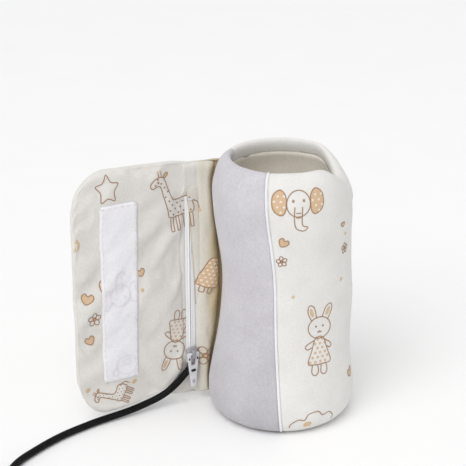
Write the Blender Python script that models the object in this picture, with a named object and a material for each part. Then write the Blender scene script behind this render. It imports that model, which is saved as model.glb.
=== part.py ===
"""A fabric bottle warmer: a padded, heated sleeve with a wrap-round flap and a supply cable.

The sleeve stands on its base with its axis on +Z and its base on z = 0. A padded flap is sewn
to the sleeve's left side. It turns about a vertical fold and curls round the sleeve's front,
where its hook strip meets the sleeve's loop panel. A zip along the fold closes the pocket that
the supply cable comes out of. The flap is three stiff panels that bend at two soft lines.
"""

import math

import bmesh
import bpy
from mathutils import Matrix, Vector

MM = 0.001
GAP = 0.3 * MM

# Sleeve: outer radius against height, and its layers from the outside in
HEIGHT = 136.0 * MM
BASE_ROUND = 10.0 * MM
BASE_RADIUS = 27.0 * MM
SLEEVE_OUTLINE = [
    (10, 36.6), (16, 36.6), (31, 34.4), (48, 32.0), (62, 31.0), (76, 31.0), (94, 32.5),
    (112, 34.3), (121, 34.4), (128, 33.0),
]
COVER = 0.8 * MM
WADDING = 2.8 * MM
WIRE = 0.6 * MM
FILM = 0.3 * MM
LINING = 0.7 * MM
COVER_TOP = 127.7 * MM
RIM_OUTLINE = [
    (32.9, 128.2), (31.9, 131.0), (30.0, 133.8), (28.0, 135.6), (26.4, 136.0), (25.3, 135.0),
    (25.3, 132.0), (26.6, 128.2),
]
ROUND_STEPS = 32
STATIONS = [10, 16, 24, 36, 48, 62, 76, 88, 100, 112, 118, 124, 128]

# Sleeve seam and the loop panel, as angles from the front (-Y), positive towards +X
SEAM_BOTTOM = math.radians(-0.5)
SEAM_TOP = math.radians(-14.0)
SEAM_WIDTH = 1.6 * MM
PANEL_START = math.radians(-112.0)

# Heater
HEATER_LOW = 28.0 * MM
HEATER_HIGH = 108.0 * MM
HEATER_PASSES = 8
HEATER_SPAN = math.radians(290.0)
THERMOSTAT_SIZE = (12.0 * MM, 5.0 * MM, 2.2 * MM)

# Flap: distances run along it from the fold, heights from the floor
FOLD = (-42.3 * MM, 8.4 * MM)
FLAP_DIRECTION = math.radians(209.5)
FLAP_LENGTH = 68.0 * MM
FLAP_TOP_AT_FOLD = 130.0 * MM
FLAP_TOP_AT_END = 134.3 * MM
TOP_CORNER = (20.0 * MM, 24.0 * MM)
BOTTOM_CORNER = (16.0 * MM, 30.0 * MM)
FLAP_HALF = 2.5 * MM
FLAP_SKIN = 0.7 * MM
CURL_AT = (18.0 * MM, 35.0 * MM)
FOLD_ROOM = 2.2 * MM
CURL_ROOM = 1.0 * MM
BACK_LOBE_BOTTOM = 3.6 * MM
FLAP_BOTTOM_OUTLINE = [(8, 21.5), (12, 16.8), (18, 11.3), (26, 8.4), (38, 5.4), (52, 4.4), (68, 2.9)]
WEB_DIRECTION = math.radians(15.0)

# Hook strip, from the fold
HOOK_SPAN = (36.0 * MM, 54.3 * MM)
HOOK_HEIGHTS = (23.0 * MM, 115.5 * MM)
HOOK_THICK = 0.8 * MM

# Zip
ZIP_LINE = 5.2 * MM
ZIP_LOW = 22.0 * MM
ZIP_HIGH = 113.0 * MM
TAPE_WIDTH = 2.6 * MM
TAPE_THICK = 0.5 * MM
TAPE_FACE = 2.1 * MM
COIL_RADIUS = 0.55 * MM
SLIDER_LOW = 22.6 * MM
SLIDER_SIZE = (6.0 * MM, 8.0 * MM)
SLIDER_THICK = 1.0 * MM
PIN_ABOVE_MIDDLE = 1.0 * MM
BRIDGE_WIDTH = 1.6 * MM
BRIDGE_ROOM = 0.45 * MM
PULLER_LENGTH = 15.5 * MM
PULLER_FACE = 3.75 * MM
PULLER_THICK = 1.0 * MM

# Supply cable: the route's own points, in millimetres, along the flap's foot and on to the floor
CABLE_RADIUS = 1.75 * MM
CABLE_ROUTE = [
    (-46.9, 4.1, 17.9), (-48.4, 2.9, 16.4), (-53.2, -0.4, 11.4), (-57.8, -3.0, 7.4),
    (-65.3, -6.7, 5.0), (-77.2, -13.2, 2.9), (-88.2, -19.8, 2.1), (-95.5, -25.0, 1.9),
    (-109.0, -37.5, 1.9), (-120.0, -51.5, 1.9), (-127.6, -64.0, 1.9), (-130.6, -78.0, 1.9),
    (-129.6, -92.0, 2.2), (-127.3, -106.0, 2.8),
]
TAIL_ROUTE = [(-104.0, -139.3, 3.4), (-97.0, -139.5, 3.7), (-90.0, -140.4, 4.1), (-84.6, -141.4, 4.2)]
COIL_CENTRE = (-100.0 * MM, -112.0 * MM)
COIL_MEAN = 19.0 * MM
COIL_WIDE = 6.2 * MM
COIL_LOW = 0.9 * MM
COIL_HIGH = 8.6 * MM
TIE_WIDTH = 5.0 * MM
TIE_THICK = 0.5 * MM
PLUG_TURN = math.radians(-10.0)
PLUG_HEIGHT = 4.2 * MM
PLUG_GRIP = (20.0 * MM, 15.0 * MM, 8.0 * MM)
PLUG_RELIEF = 7.0 * MM


def clear_scene():
    for item in list(bpy.data.objects):
        bpy.data.objects.remove(item, do_unlink=True)


def material(name, colour, roughness, metallic=0.0):
    made = bpy.data.materials.new(name)
    made.use_nodes = True
    shader = made.node_tree.nodes["Principled BSDF"]
    shader.inputs["Base Color"].default_value = (*colour, 1.0)
    shader.inputs["Roughness"].default_value = roughness
    shader.inputs["Metallic"].default_value = metallic
    return made


def cream_fabric(name):
    return material(name, (0.86, 0.80, 0.70), 0.85)


def white_fabric(name):
    return material(name, (0.90, 0.89, 0.92), 0.9)


def black_plastic(name):
    return material(name, (0.02, 0.02, 0.02), 0.45)


def bright_metal(name):
    return material(name, (0.75, 0.75, 0.76), 0.25, 1.0)


def add_object(name, mesh, look, parent=None, place=(0.0, 0.0, 0.0), smooth=True):
    made = bpy.data.objects.new(name, mesh)
    bpy.context.collection.objects.link(made)
    made.data.materials.append(look)
    made.location = place
    made.parent = parent
    if smooth:
        mesh.shade_smooth()
        mesh.set_sharp_from_angle(angle=math.radians(35.0))
    return made


def finish_mesh(name, form):
    bmesh.ops.remove_doubles(form, verts=form.verts, dist=1e-7)
    bmesh.ops.recalc_face_normals(form, faces=form.faces)
    mesh = bpy.data.meshes.new(name)
    form.to_mesh(mesh)
    form.free()
    return mesh


def smooth_through(points, share):
    """A value on the smooth curve through (place, value) points, by its place."""
    if share <= points[0][0]:
        return points[0][1]
    if share >= points[-1][0]:
        return points[-1][1]
    index = max(i for i in range(len(points) - 1) if points[i][0] <= share)
    (x0, y0), (x1, y1) = points[index], points[index + 1]
    before = points[max(index - 1, 0)]
    after = points[min(index + 2, len(points) - 1)]
    slope0 = (y1 - before[1]) / (x1 - before[0])
    slope1 = (after[1] - y0) / (after[0] - x0)
    t = (share - x0) / (x1 - x0)
    width = x1 - x0
    return (
        (2 * t**3 - 3 * t**2 + 1) * y0
        + (t**3 - 2 * t**2 + t) * width * slope0
        + (3 * t**2 - 2 * t**3) * y1
        + (t**3 - t**2) * width * slope1
    )


def sleeve_radius(height):
    """The sleeve's outer radius: a quarter round at the base, then its waisted side.

    The side is straight between its stations, so that every layer's facets lie parallel.
    """
    if height < BASE_ROUND:
        drop = 1.0 - max(height, 0.0) / BASE_ROUND
        side = SLEEVE_OUTLINE[0][1] * MM
        return BASE_RADIUS + (side - BASE_RADIUS) * math.sqrt(max(1.0 - drop * drop, 0.0))
    at = min(height / MM, STATIONS[-1])
    index = max(i for i in range(len(STATIONS) - 1) if STATIONS[i] <= at)
    low, high = STATIONS[index], STATIONS[index + 1]
    near, far = smooth_through(SLEEVE_OUTLINE, low), smooth_through(SLEEVE_OUTLINE, high)
    return (near + (far - near) * (at - low) / (high - low)) * MM


def side_heights(low, high):
    return [low] + [z * MM for z in STATIONS if low < z * MM < high] + [high]


def around(radius, angle, height):
    """The point at an angle from the front, positive towards +X."""
    return (radius * math.sin(angle), -radius * math.cos(angle), height)


def grid_solid(name, rows, closed_round):
    """One solid whose sections are loops: rows of loops, each loop a list of points."""
    form = bmesh.new()
    loops = [[form.verts.new(point) for point in row] for row in rows]
    count = len(loops)
    size = len(loops[0])
    for i in range(count if closed_round else count - 1):
        near, far = loops[i], loops[(i + 1) % count]
        for j in range(size):
            k = (j + 1) % size
            form.faces.new((near[j], near[k], far[k], far[j]))
    if not closed_round:
        form.faces.new(loops[0])
        form.faces.new(list(reversed(loops[-1])))
    return finish_mesh(name, form)


def layer_section(heights, outer_depth, inner_depth):
    """A layer's section: (radius, height) up its outer side and back down its inner side."""
    outer = [(sleeve_radius(z) - outer_depth, z) for z in heights]
    inner = [(sleeve_radius(z) - inner_depth, z) for z in reversed(heights)]
    return outer + inner


def full_layer(name, section, look, steps=ROUND_STEPS):
    rows = []
    for i in range(steps):
        angle = 2 * math.pi * i / steps
        rows.append([around(r, angle, z) for r, z in section])
    return add_object(name, grid_solid(name, rows, True), look)


def seam_angle(height):
    share = height / HEIGHT
    return SEAM_BOTTOM + (SEAM_TOP - SEAM_BOTTOM) * share


def part_layer(name, section, start, end, steps, look):
    """A layer over part of the round, whose edges' angles are functions of height."""
    rows = []
    for i in range(steps + 1):
        share = i / steps
        rows.append(
            [around(r, start(z) + (end(z) - start(z)) * share, z) for r, z in section]
        )
    return add_object(name, grid_solid(name, rows, False), look)


def skin_section():
    """The covers' section, from just off the floor, round the base edge and up to the rim."""
    low = [0.35 * MM, 1.2 * MM, 3.0 * MM, 6.0 * MM]
    return layer_section(low + side_heights(BASE_ROUND, COVER_TOP), 0.0, COVER)


def half_seam(height):
    return 0.5 * SEAM_WIDTH / sleeve_radius(height)


def panel_start(_height):
    return PANEL_START


def make_skins():
    section = skin_section()
    room = GAP / (30.0 * MM)

    def panel_end(z):
        return seam_angle(z) - half_seam(z) - room

    def seam_start(z):
        return seam_angle(z) - half_seam(z)

    def seam_end(z):
        return seam_angle(z) + half_seam(z)

    def cover_start(z):
        return seam_end(z) + room

    def cover_end(z):
        return 2 * math.pi + PANEL_START - room

    part_layer("loop_panel", section, panel_start, panel_end, 11, white_fabric("loop_panel"))
    part_layer("front_seam", section, seam_start, seam_end, 1, cream_fabric("front_seam"))
    part_layer("outer_cover", section, cover_start, cover_end, 25, cream_fabric("outer_cover"))


def make_sleeve_layers():
    depth = COVER + GAP
    wadding = layer_section(side_heights(7.5 * MM, 127.0 * MM), depth, depth + WADDING)
    full_layer("sleeve_wadding", wadding, material("sleeve_wadding", (0.9, 0.9, 0.88), 0.95))
    wire_middle = depth + WADDING + GAP + WIRE / 2
    make_heating_wire(wire_middle)
    depth = wire_middle + WIRE / 2 + GAP
    film = layer_section(side_heights(20.0 * MM, 116.0 * MM), depth, depth + FILM)
    full_layer("heating_film", film, material("heating_film", (0.55, 0.36, 0.12), 0.4))
    depth += FILM + GAP
    lining = layer_section(side_heights(7.5 * MM, 127.4 * MM), depth, depth + LINING)
    full_layer("lining", lining, cream_fabric("lining"))
    rim = [(r * MM, z * MM) for r, z in RIM_OUTLINE]
    full_layer("top_hem", rim, cream_fabric("top_hem"))


def make_heating_wire(depth):
    """The heating wire runs up and down inside the film in even passes, with round turns."""
    step = HEATER_SPAN / (HEATER_PASSES - 1)
    turn_drop = step * 30.0 * MM / 2
    route = []
    for i in range(HEATER_PASSES):
        angle = math.pi - HEATER_SPAN / 2 + step * i
        up = i % 2 == 0
        low, high = HEATER_LOW, HEATER_HIGH
        heights = side_heights(low, high)
        for z in heights if up else reversed(heights):
            route.append(around(sleeve_radius(z) - depth, angle, z))
        if i < HEATER_PASSES - 1:
            base = high if up else low
            side = 1.0 if up else -1.0
            for k in range(1, 5):
                swing = math.pi * k / 5
                z = base + side * turn_drop * math.sin(swing)
                shift = angle + step * (1 - math.cos(swing)) / 2
                route.append(around(sleeve_radius(z) - depth, shift, z))
    tube("heating_wire", route, WIRE / 2, material("heating_wire", (0.6, 0.3, 0.15), 0.35, 1.0), 0)


def make_base():
    cover = [(0.0, 0.0), (BASE_RADIUS - 0.8 * MM, 0.0), (BASE_RADIUS - GAP, 0.4 * MM)]
    cover += [(BASE_RADIUS - 0.8 * MM, 1.1 * MM), (0.0, 1.1 * MM)]
    turned("base_cover", cover, cream_fabric("base_cover"))
    wadding = [(0.0, 1.5 * MM), (25.5 * MM, 1.5 * MM), (28.0 * MM, 3.0 * MM)]
    wadding += [(28.0 * MM, 5.4 * MM), (0.0, 5.4 * MM)]
    padding = turned("base_wadding", wadding, material("base_wadding", (0.9, 0.9, 0.88), 0.95))
    cut_thermostat_pocket(padding)
    lining = [(0.0, 5.8 * MM), (29.0 * MM, 5.8 * MM), (29.0 * MM, 6.5 * MM), (0.0, 6.5 * MM)]
    turned("base_lining", lining, cream_fabric("base_lining"))


def cut_thermostat_pocket(padding):
    """The thermostat lies in a pocket that opens at the top of the base wadding."""
    x, y, z = THERMOSTAT_SIZE
    middle = (0.0, 0.0, 5.4 * MM - z / 2)
    cutter = box("thermostat_pocket", (x + 2 * GAP, y + 2 * GAP, z + 2 * GAP), middle, None)
    cutter.hide_render = True
    cutter.display_type = "WIRE"
    cut = padding.modifiers.new("pocket", "BOOLEAN")
    cut.object = cutter
    cut.operation = "DIFFERENCE"
    body = (x, y, z - GAP)
    box("thermostat", body, middle, material("thermostat", (0.1, 0.1, 0.1), 0.5), bevel=0.4 * MM)


def turned(name, outline, look, steps=ROUND_STEPS):
    """A solid of revolution about the sleeve's axis. The outline starts and ends on the axis."""
    form = bmesh.new()
    verts = [form.verts.new((r, 0.0, z)) for r, z in outline]
    edges = [form.edges.new(pair) for pair in zip(verts, verts[1:])]
    bmesh.ops.spin(
        form, geom=verts + edges, cent=(0, 0, 0), axis=(0, 0, 1), angle=2 * math.pi, steps=steps
    )
    return add_object(name, finish_mesh(name, form), look)


def box(name, size, place, look, parent=None, bevel=0.0):
    form = bmesh.new()
    bmesh.ops.create_cube(form, size=1.0, matrix=Matrix.Diagonal((*size, 1.0)))
    if bevel:
        bmesh.ops.bevel(form, geom=form.edges[:], offset=bevel, segments=2, affect="EDGES")
    mesh = finish_mesh(name, form)
    if look is None:
        look = material(name, (0.5, 0.5, 0.5), 0.5)
    return add_object(name, mesh, look, parent, place)


def tube(name, points, radius, look, resolution, parent=None):
    curve = bpy.data.curves.new(name, "CURVE")
    curve.dimensions = "3D"
    curve.bevel_depth = radius
    curve.bevel_resolution = resolution
    curve.use_fill_caps = True
    spline = curve.splines.new("POLY")
    spline.points.add(len(points) - 1)
    for item, point in zip(spline.points, points):
        item.co = (*point, 1.0)
    made = bpy.data.objects.new(name, curve)
    bpy.context.collection.objects.link(made)
    curve.materials.append(look)
    made.parent = parent
    return made


def smooth_route(route, spacing):
    """Evenly spaced points on the Catmull-Rom curve through a route."""
    knots = [Vector(p) for p in route]
    knots = [2 * knots[0] - knots[1]] + knots + [2 * knots[-1] - knots[-2]]
    fine = []
    for i in range(1, len(knots) - 2):
        a, b, c, d = knots[i - 1 : i + 3]
        for k in range(24):
            t = k / 24
            fine.append(
                0.5 * (2 * b + (c - a) * t + (2 * a - 5 * b + 4 * c - d) * t * t
                       + (3 * b - a - 3 * c + d) * t**3)
            )
    fine.append(knots[-2])
    lengths = [0.0]
    for a, b in zip(fine, fine[1:]):
        lengths.append(lengths[-1] + (b - a).length)
    count = round(lengths[-1] / spacing)
    even, at = [], 0
    for i in range(count + 1):
        want = lengths[-1] * i / count
        while at < len(fine) - 2 and lengths[at + 1] < want:
            at += 1
        share = (want - lengths[at]) / (lengths[at + 1] - lengths[at])
        even.append(fine[at].lerp(fine[at + 1], share))
    return even


# Flap: each panel is drawn in the flap's own frame, x along it from the fold, y to its inner face


def fold_frame():
    frame = bpy.data.objects.new("fold_axis", None)
    bpy.context.collection.objects.link(frame)
    frame.location = (*FOLD, 0.0)
    frame.rotation_euler = (0.0, 0.0, FLAP_DIRECTION)
    return frame


def curl_frame(name, parent, step):
    frame = bpy.data.objects.new(name, None)
    bpy.context.collection.objects.link(frame)
    frame.parent = parent
    frame.location = (step, 0.0, 0.0)
    return frame


def corner_inset(along, corner):
    """How far a quarter-ellipse corner at the flap's free end lies inside its straight edge."""
    wide, high = corner
    into = max(along - (FLAP_LENGTH - wide), 0.0) / wide
    return high * (1.0 - math.sqrt(max(1.0 - into * into, 0.0)))


def flap_top(along):
    rise = (FLAP_TOP_AT_END - FLAP_TOP_AT_FOLD) * math.sqrt(along / FLAP_LENGTH)
    return FLAP_TOP_AT_FOLD + rise - corner_inset(along, TOP_CORNER)


def flap_bottom(along):
    straight = smooth_through(FLAP_BOTTOM_OUTLINE, along / MM) * MM
    return straight + corner_inset(along, BOTTOM_CORNER)


def lobe_bottom(along):
    return BACK_LOBE_BOTTOM


def panel_stations(start, end):
    """Even stations along a panel, closer together round the flap's free corners."""
    steps = max(4, round((end - start) / (4.0 * MM)))
    even = [start + (end - start) * i / steps for i in range(steps + 1)]
    if end < FLAP_LENGTH:
        return even
    wide = TOP_CORNER[0]
    flat = [x for x in even if x < FLAP_LENGTH - wide]
    quarter = [math.radians(10.0 * k) for k in range(0, 10)]
    return flat + [FLAP_LENGTH - wide + wide * math.sin(a) for a in quarter]


def flap_slab(name, parent, origin, span, faces, look, bottom=flap_bottom, top=flap_top):
    """A flat layer of the flap: its outline between two stations, between two faces."""
    stations = panel_stations(*span)
    rim = [(x - origin, bottom(x)) for x in stations]
    rim += [(x - origin, top(x)) for x in reversed(stations)]
    form = bmesh.new()
    lower = [form.verts.new((x, faces[0], z)) for x, z in rim]
    upper = [form.verts.new((x, faces[1], z)) for x, z in rim]
    form.faces.new(lower)
    form.faces.new(list(reversed(upper)))
    for i in range(len(rim)):
        k = (i + 1) % len(rim)
        form.faces.new((lower[i], lower[k], upper[k], upper[i]))
    return add_object(name, finish_mesh(name, form), look, parent)


def make_flap_panel(number, parent, origin, span, soft_span):
    back = (-FLAP_HALF, -FLAP_HALF + FLAP_SKIN)
    front = (FLAP_HALF - FLAP_SKIN, FLAP_HALF)
    middle = (back[1] + GAP, front[0] - GAP)
    back_bottom = lobe_bottom if number == 1 else flap_bottom
    names = [f"flap_outer_cover_{number}", f"flap_wadding_{number}", f"flap_inner_cover_{number}"]
    fill = material(names[1], (0.9, 0.9, 0.88), 0.95)
    flap_slab(names[0], parent, origin, span, back, cream_fabric(names[0]), back_bottom)
    flap_slab(names[1], parent, origin, soft_span, middle, fill)
    flap_slab(names[2], parent, origin, soft_span, front, cream_fabric(names[2]))


def make_flap(fold, curl_1, curl_2):
    pocket_side = ZIP_LINE + TAPE_WIDTH + 2 * GAP
    end = CURL_AT[0] - CURL_ROOM
    make_flap_panel(1, fold, 0.0, (FOLD_ROOM, end), (pocket_side, end))
    span = (CURL_AT[0] + CURL_ROOM, CURL_AT[1] - CURL_ROOM)
    make_flap_panel(2, curl_1, CURL_AT[0], span, span)
    span = (CURL_AT[1] + CURL_ROOM, FLAP_LENGTH)
    make_flap_panel(3, curl_2, CURL_AT[1], span, span)


def make_hook_strip(parent):
    middle = (sum(HOOK_SPAN) / 2 - CURL_AT[1], FLAP_HALF + GAP + HOOK_THICK / 2,
              sum(HOOK_HEIGHTS) / 2)
    size = (HOOK_SPAN[1] - HOOK_SPAN[0], HOOK_THICK, HOOK_HEIGHTS[1] - HOOK_HEIGHTS[0])
    box("hook_strip", size, middle, white_fabric("hook_strip"), parent)


def make_web():
    """The web of cover fabric that joins the sleeve's side to the fold."""
    along = Vector((math.cos(WEB_DIRECTION), math.sin(WEB_DIRECTION)))
    across = Vector((-along.y, along.x))
    fold = Vector(FOLD)
    rows = []
    for z in side_heights(9.0 * MM, 127.0 * MM):
        near = FOLD_ROOM
        far_plus = distance_to_sleeve(fold, along, across, FLAP_HALF, z)
        far_minus = distance_to_sleeve(fold, along, across, -FLAP_HALF, z)
        corners = [(near, -FLAP_HALF), (far_minus, -FLAP_HALF), (far_plus, FLAP_HALF),
                   (near, FLAP_HALF)]
        points = [fold + along * u + across * v for u, v in corners]
        rows.append([(p.x, p.y, z) for p in points])
    add_object("fold_web", grid_solid("fold_web", rows, False), cream_fabric("fold_web"))


def distance_to_sleeve(fold, along, across, offset, height):
    """How far the web runs from the fold before it meets the sleeve, less the gap."""
    start = fold + across * offset
    reach = sleeve_radius(height) + GAP + 0.1 * MM
    half = start.dot(along)
    return -half - math.sqrt(max(half * half - start.length_squared + reach * reach, 0.0))


def make_zip(parent):
    tape_look = material("zip_tape", (0.93, 0.93, 0.94), 0.6)
    height = ZIP_HIGH - ZIP_LOW
    middle = (ZIP_LOW + ZIP_HIGH) / 2
    for side, name in ((-1, "right"), (1, "left")):
        x = ZIP_LINE + side * (TAPE_WIDTH / 2 + GAP / 2)
        size = (TAPE_WIDTH, TAPE_THICK, height)
        box(f"zip_tape_{name}", size, (x, TAPE_FACE - TAPE_THICK / 2, middle), tape_look, parent)
        make_zip_coil(f"zip_coil_{name}", side, parent)
    stop = (2.4 * MM, 0.9 * MM, 1.4 * MM)
    metal = material("zip_stop", (0.9, 0.9, 0.91), 0.4)
    face = TAPE_FACE + GAP + stop[1] / 2
    box("zip_top_stop", stop, (ZIP_LINE, face, ZIP_HIGH - 1.5 * MM), metal, parent, 0.2 * MM)
    under = TAPE_FACE - TAPE_THICK - GAP - COIL_RADIUS
    low = (ZIP_LINE, under, ZIP_LOW + 1.0 * MM)
    box("zip_bottom_stop", (3.0 * MM, 1.0 * MM, 1.4 * MM), low, metal, parent, 0.2 * MM)


def make_zip_coil(name, side, parent):
    """One side's nylon coil, as the outer shape of its turns behind the tape."""
    x = ZIP_LINE + side * (COIL_RADIUS + GAP / 2)
    y = TAPE_FACE - TAPE_THICK - GAP - COIL_RADIUS
    points = [(x, y, ZIP_LOW + 2.4 * MM), (x, y, ZIP_HIGH - 1.0 * MM)]
    tube(name, points, COIL_RADIUS, material(name, (0.92, 0.92, 0.93), 0.5), 1, parent)


def plate(name, outline, holes, faces, look, parent, place):
    """A flat plate: its outline in (x, z), through holes in it, between two faces in y."""
    form = bmesh.new()
    rims = [outline] + holes
    for face in faces:
        loops = []
        for rim in rims:
            verts = [form.verts.new((x, face, z)) for x, z in rim]
            loops.append([form.edges.new((verts[i], verts[(i + 1) % len(verts)]))
                          for i in range(len(verts))])
        bmesh.ops.triangle_fill(form, edges=[e for loop in loops for e in loop], use_beauty=True)
    form.verts.ensure_lookup_table()
    half = len(form.verts) // 2
    start = 0
    for rim in rims:
        size = len(rim)
        for i in range(size):
            a, b = start + i, start + (i + 1) % size
            form.faces.new([form.verts[n] for n in (a, b, b + half, a + half)])
        start += size
    return add_object(name, finish_mesh(name, form), look, parent, place)


def rounded(width_low, width_high, low, high, radius, steps=3):
    """A tapered outline with round corners, from low to high, centred on x = 0."""
    corners = [(-width_low / 2, low), (width_low / 2, low), (width_high / 2, high),
               (-width_high / 2, high)]
    turns = [180.0, 270.0, 0.0, 90.0]
    points = []
    for (x, z), first in zip(corners, turns):
        centre = (x - math.copysign(radius, x), z + (radius if z == low else -radius))
        for k in range(steps + 1):
            angle = math.radians(first + 90.0 * k / steps)
            points.append((centre[0] + radius * math.cos(angle),
                           centre[1] + radius * math.sin(angle)))
    return points


def make_slider(parent):
    """The slider rides on the tapes' face. The puller's ring bar passes under its bridge."""
    white = material("zip_slider", (0.9, 0.9, 0.92), 0.35)
    middle = SLIDER_LOW + SLIDER_SIZE[1] / 2
    half = SLIDER_SIZE[1] / 2
    base = rounded(5.0 * MM, SLIDER_SIZE[0], -half, half, 1.2 * MM)
    bottom = TAPE_FACE + GAP
    top = bottom + SLIDER_THICK
    made = plate("zip_slider", base, [], (bottom, top), white, parent, (ZIP_LINE, 0.0, middle))
    join(made, make_bridge(parent, top, middle + PIN_ABOVE_MIDDLE))
    return middle


def make_bridge(parent, foot, pin):
    """An arch over the ring bar: two posts and a roof, drawn in (z, y) and extruded in x."""
    root = foot - 0.3 * MM
    roof = PULLER_FACE + PULLER_THICK + BRIDGE_ROOM
    crown = roof + 0.6 * MM
    room = BRIDGE_ROOM + PULLER_THICK / 2
    outline = [(-room - 1.2 * MM, root), (-room, root), (-room, roof), (room, roof),
               (room, root), (room + 0.8 * MM, root), (room + 0.8 * MM, crown),
               (-room - 1.2 * MM, crown)]
    form = bmesh.new()
    sides = []
    for x in (-BRIDGE_WIDTH / 2, BRIDGE_WIDTH / 2):
        sides.append([form.verts.new((ZIP_LINE + x, y, pin + z)) for z, y in outline])
    form.faces.new(sides[0])
    form.faces.new(list(reversed(sides[1])))
    for i in range(len(outline)):
        k = (i + 1) % len(outline)
        form.faces.new((sides[0][i], sides[0][k], sides[1][k], sides[1][i]))
    look = material("slider_bridge", (0.9, 0.9, 0.92), 0.35)
    return add_object("slider_bridge", finish_mesh("slider_bridge", form), look, parent)


def join(target, extra):
    """The extra solid becomes part of the target by a Boolean union."""
    extra.hide_render = True
    extra.display_type = "WIRE"
    union = target.modifiers.new("union_" + extra.name, "BOOLEAN")
    union.object = extra
    union.operation = "UNION"


def make_puller(parent, slider_middle):
    """The puller hangs from the slider's bridge. Its origin is the middle of its ring bar."""
    frame = bpy.data.objects.new("puller_pin", None)
    bpy.context.collection.objects.link(frame)
    frame.parent = parent
    frame.location = (ZIP_LINE, PULLER_FACE + PULLER_THICK / 2, slider_middle + PIN_ABOVE_MIDDLE)
    half = PULLER_THICK / 2
    outline = rounded(3.6 * MM, 6.0 * MM, half - PULLER_LENGTH, half, 0.5 * MM)
    ring = rounded(2.5 * MM, 2.5 * MM, -5.2 * MM, -half, 0.4 * MM, 1)
    slot = rounded(2.4 * MM, 3.0 * MM, -8.0 * MM, -6.9 * MM, 0.4 * MM, 1)
    look = material("zip_puller", (0.93, 0.93, 0.95), 0.4)
    plate("zip_puller", outline, [ring, slot], (-half, half), look, frame, (0.0, 0.0, 0.0))


def turned_along(name, outline, start, direction, look, steps=14):
    """A turned piece about a line: outline as (radius, distance along the line)."""
    rows = []
    axis = Vector(direction).normalized()
    turn = axis.to_track_quat("Z", "Y").to_matrix()
    for radius, along in outline:
        ring = []
        for i in range(steps):
            angle = 2 * math.pi * i / steps
            local = Vector((radius * math.cos(angle), radius * math.sin(angle), along))
            ring.append(Vector(start) + turn @ local)
        rows.append(ring)
    return add_object(name, grid_solid(name, rows, False), look)


def make_cable(parent):
    """The cable leaves its gland in the pocket's mouth, and winds into a coil on the floor."""
    black = black_plastic("usb_cable")
    route = [tuple(v * MM for v in point) for point in CABLE_ROUTE]
    points = smooth_route(route, 3.4 * CABLE_RADIUS)
    cable = tube("usb_cable", points, CABLE_RADIUS, black, 2)
    keep_place(cable, parent)
    first, second = Vector(points[0]), Vector(points[1])
    back = (first - second).normalized()
    gland = [(1.5 * MM, 0.0), (1.95 * MM, 0.4 * MM), (1.95 * MM, 2.0 * MM), (1.5 * MM, 2.4 * MM)]
    start = first + back * GAP
    tail = smooth_route([tuple(v * MM for v in point) for point in TAIL_ROUTE], 3.4 * CABLE_RADIUS)
    keep_place(tube("usb_cable_tail", tail, CABLE_RADIUS, black, 2), parent)
    keep_place(turned_along("cable_gland", gland, start, back, black_plastic("cable_gland")), parent)


def keep_place(made, parent):
    """Parents a piece that was modelled in place, without moving it."""
    made.parent = parent
    parent_matrix = Matrix.Translation((*FOLD, 0.0)) @ Matrix.Rotation(FLAP_DIRECTION, 4, "Z")
    made.matrix_parent_inverse = parent_matrix.inverted()


def make_coil(parent):
    """The stored length as one turned ring, with the tie round one side of it."""
    x, y = COIL_CENTRE
    chamfer = 1.6 * MM
    low, high = COIL_LOW, COIL_HIGH
    near, far = COIL_MEAN - COIL_WIDE, COIL_MEAN + COIL_WIDE
    section = [(near + chamfer, low), (far - chamfer, low), (far, low + chamfer),
               (far, high - chamfer), (far - chamfer, high), (near + chamfer, high),
               (near, high - chamfer), (near, low + chamfer)]
    rows = []
    for i in range(ROUND_STEPS):
        angle = 2 * math.pi * i / ROUND_STEPS
        rows.append([(x + r * math.cos(angle), y + r * math.sin(angle), z) for r, z in section])
    ring = add_object("cable_coil", grid_solid("cable_coil", rows, True), black_plastic("coil"))
    keep_place(ring, parent)
    make_tie(parent, section)


def make_tie(parent, section):
    """The tie is a flat band round the coil's section, on its left side."""
    x, y = COIL_CENTRE
    middle_r = COIL_MEAN
    middle_z = (COIL_LOW + COIL_HIGH) / 2
    rows = []
    for side in (-1, 1):
        for grow in (GAP, GAP + TIE_THICK) if side < 0 else (GAP + TIE_THICK, GAP):
            ring = []
            for r, z in section:
                out_r = r + math.copysign(grow, r - middle_r)
                out_z = z + math.copysign(grow, z - middle_z)
                ring.append((x - out_r, y + side * TIE_WIDTH / 2, out_z))
            rows.append(ring)
    tie = add_object("cable_tie", grid_solid("cable_tie", rows, True), black_plastic("cable_tie"))
    keep_place(tie, parent)


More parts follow.
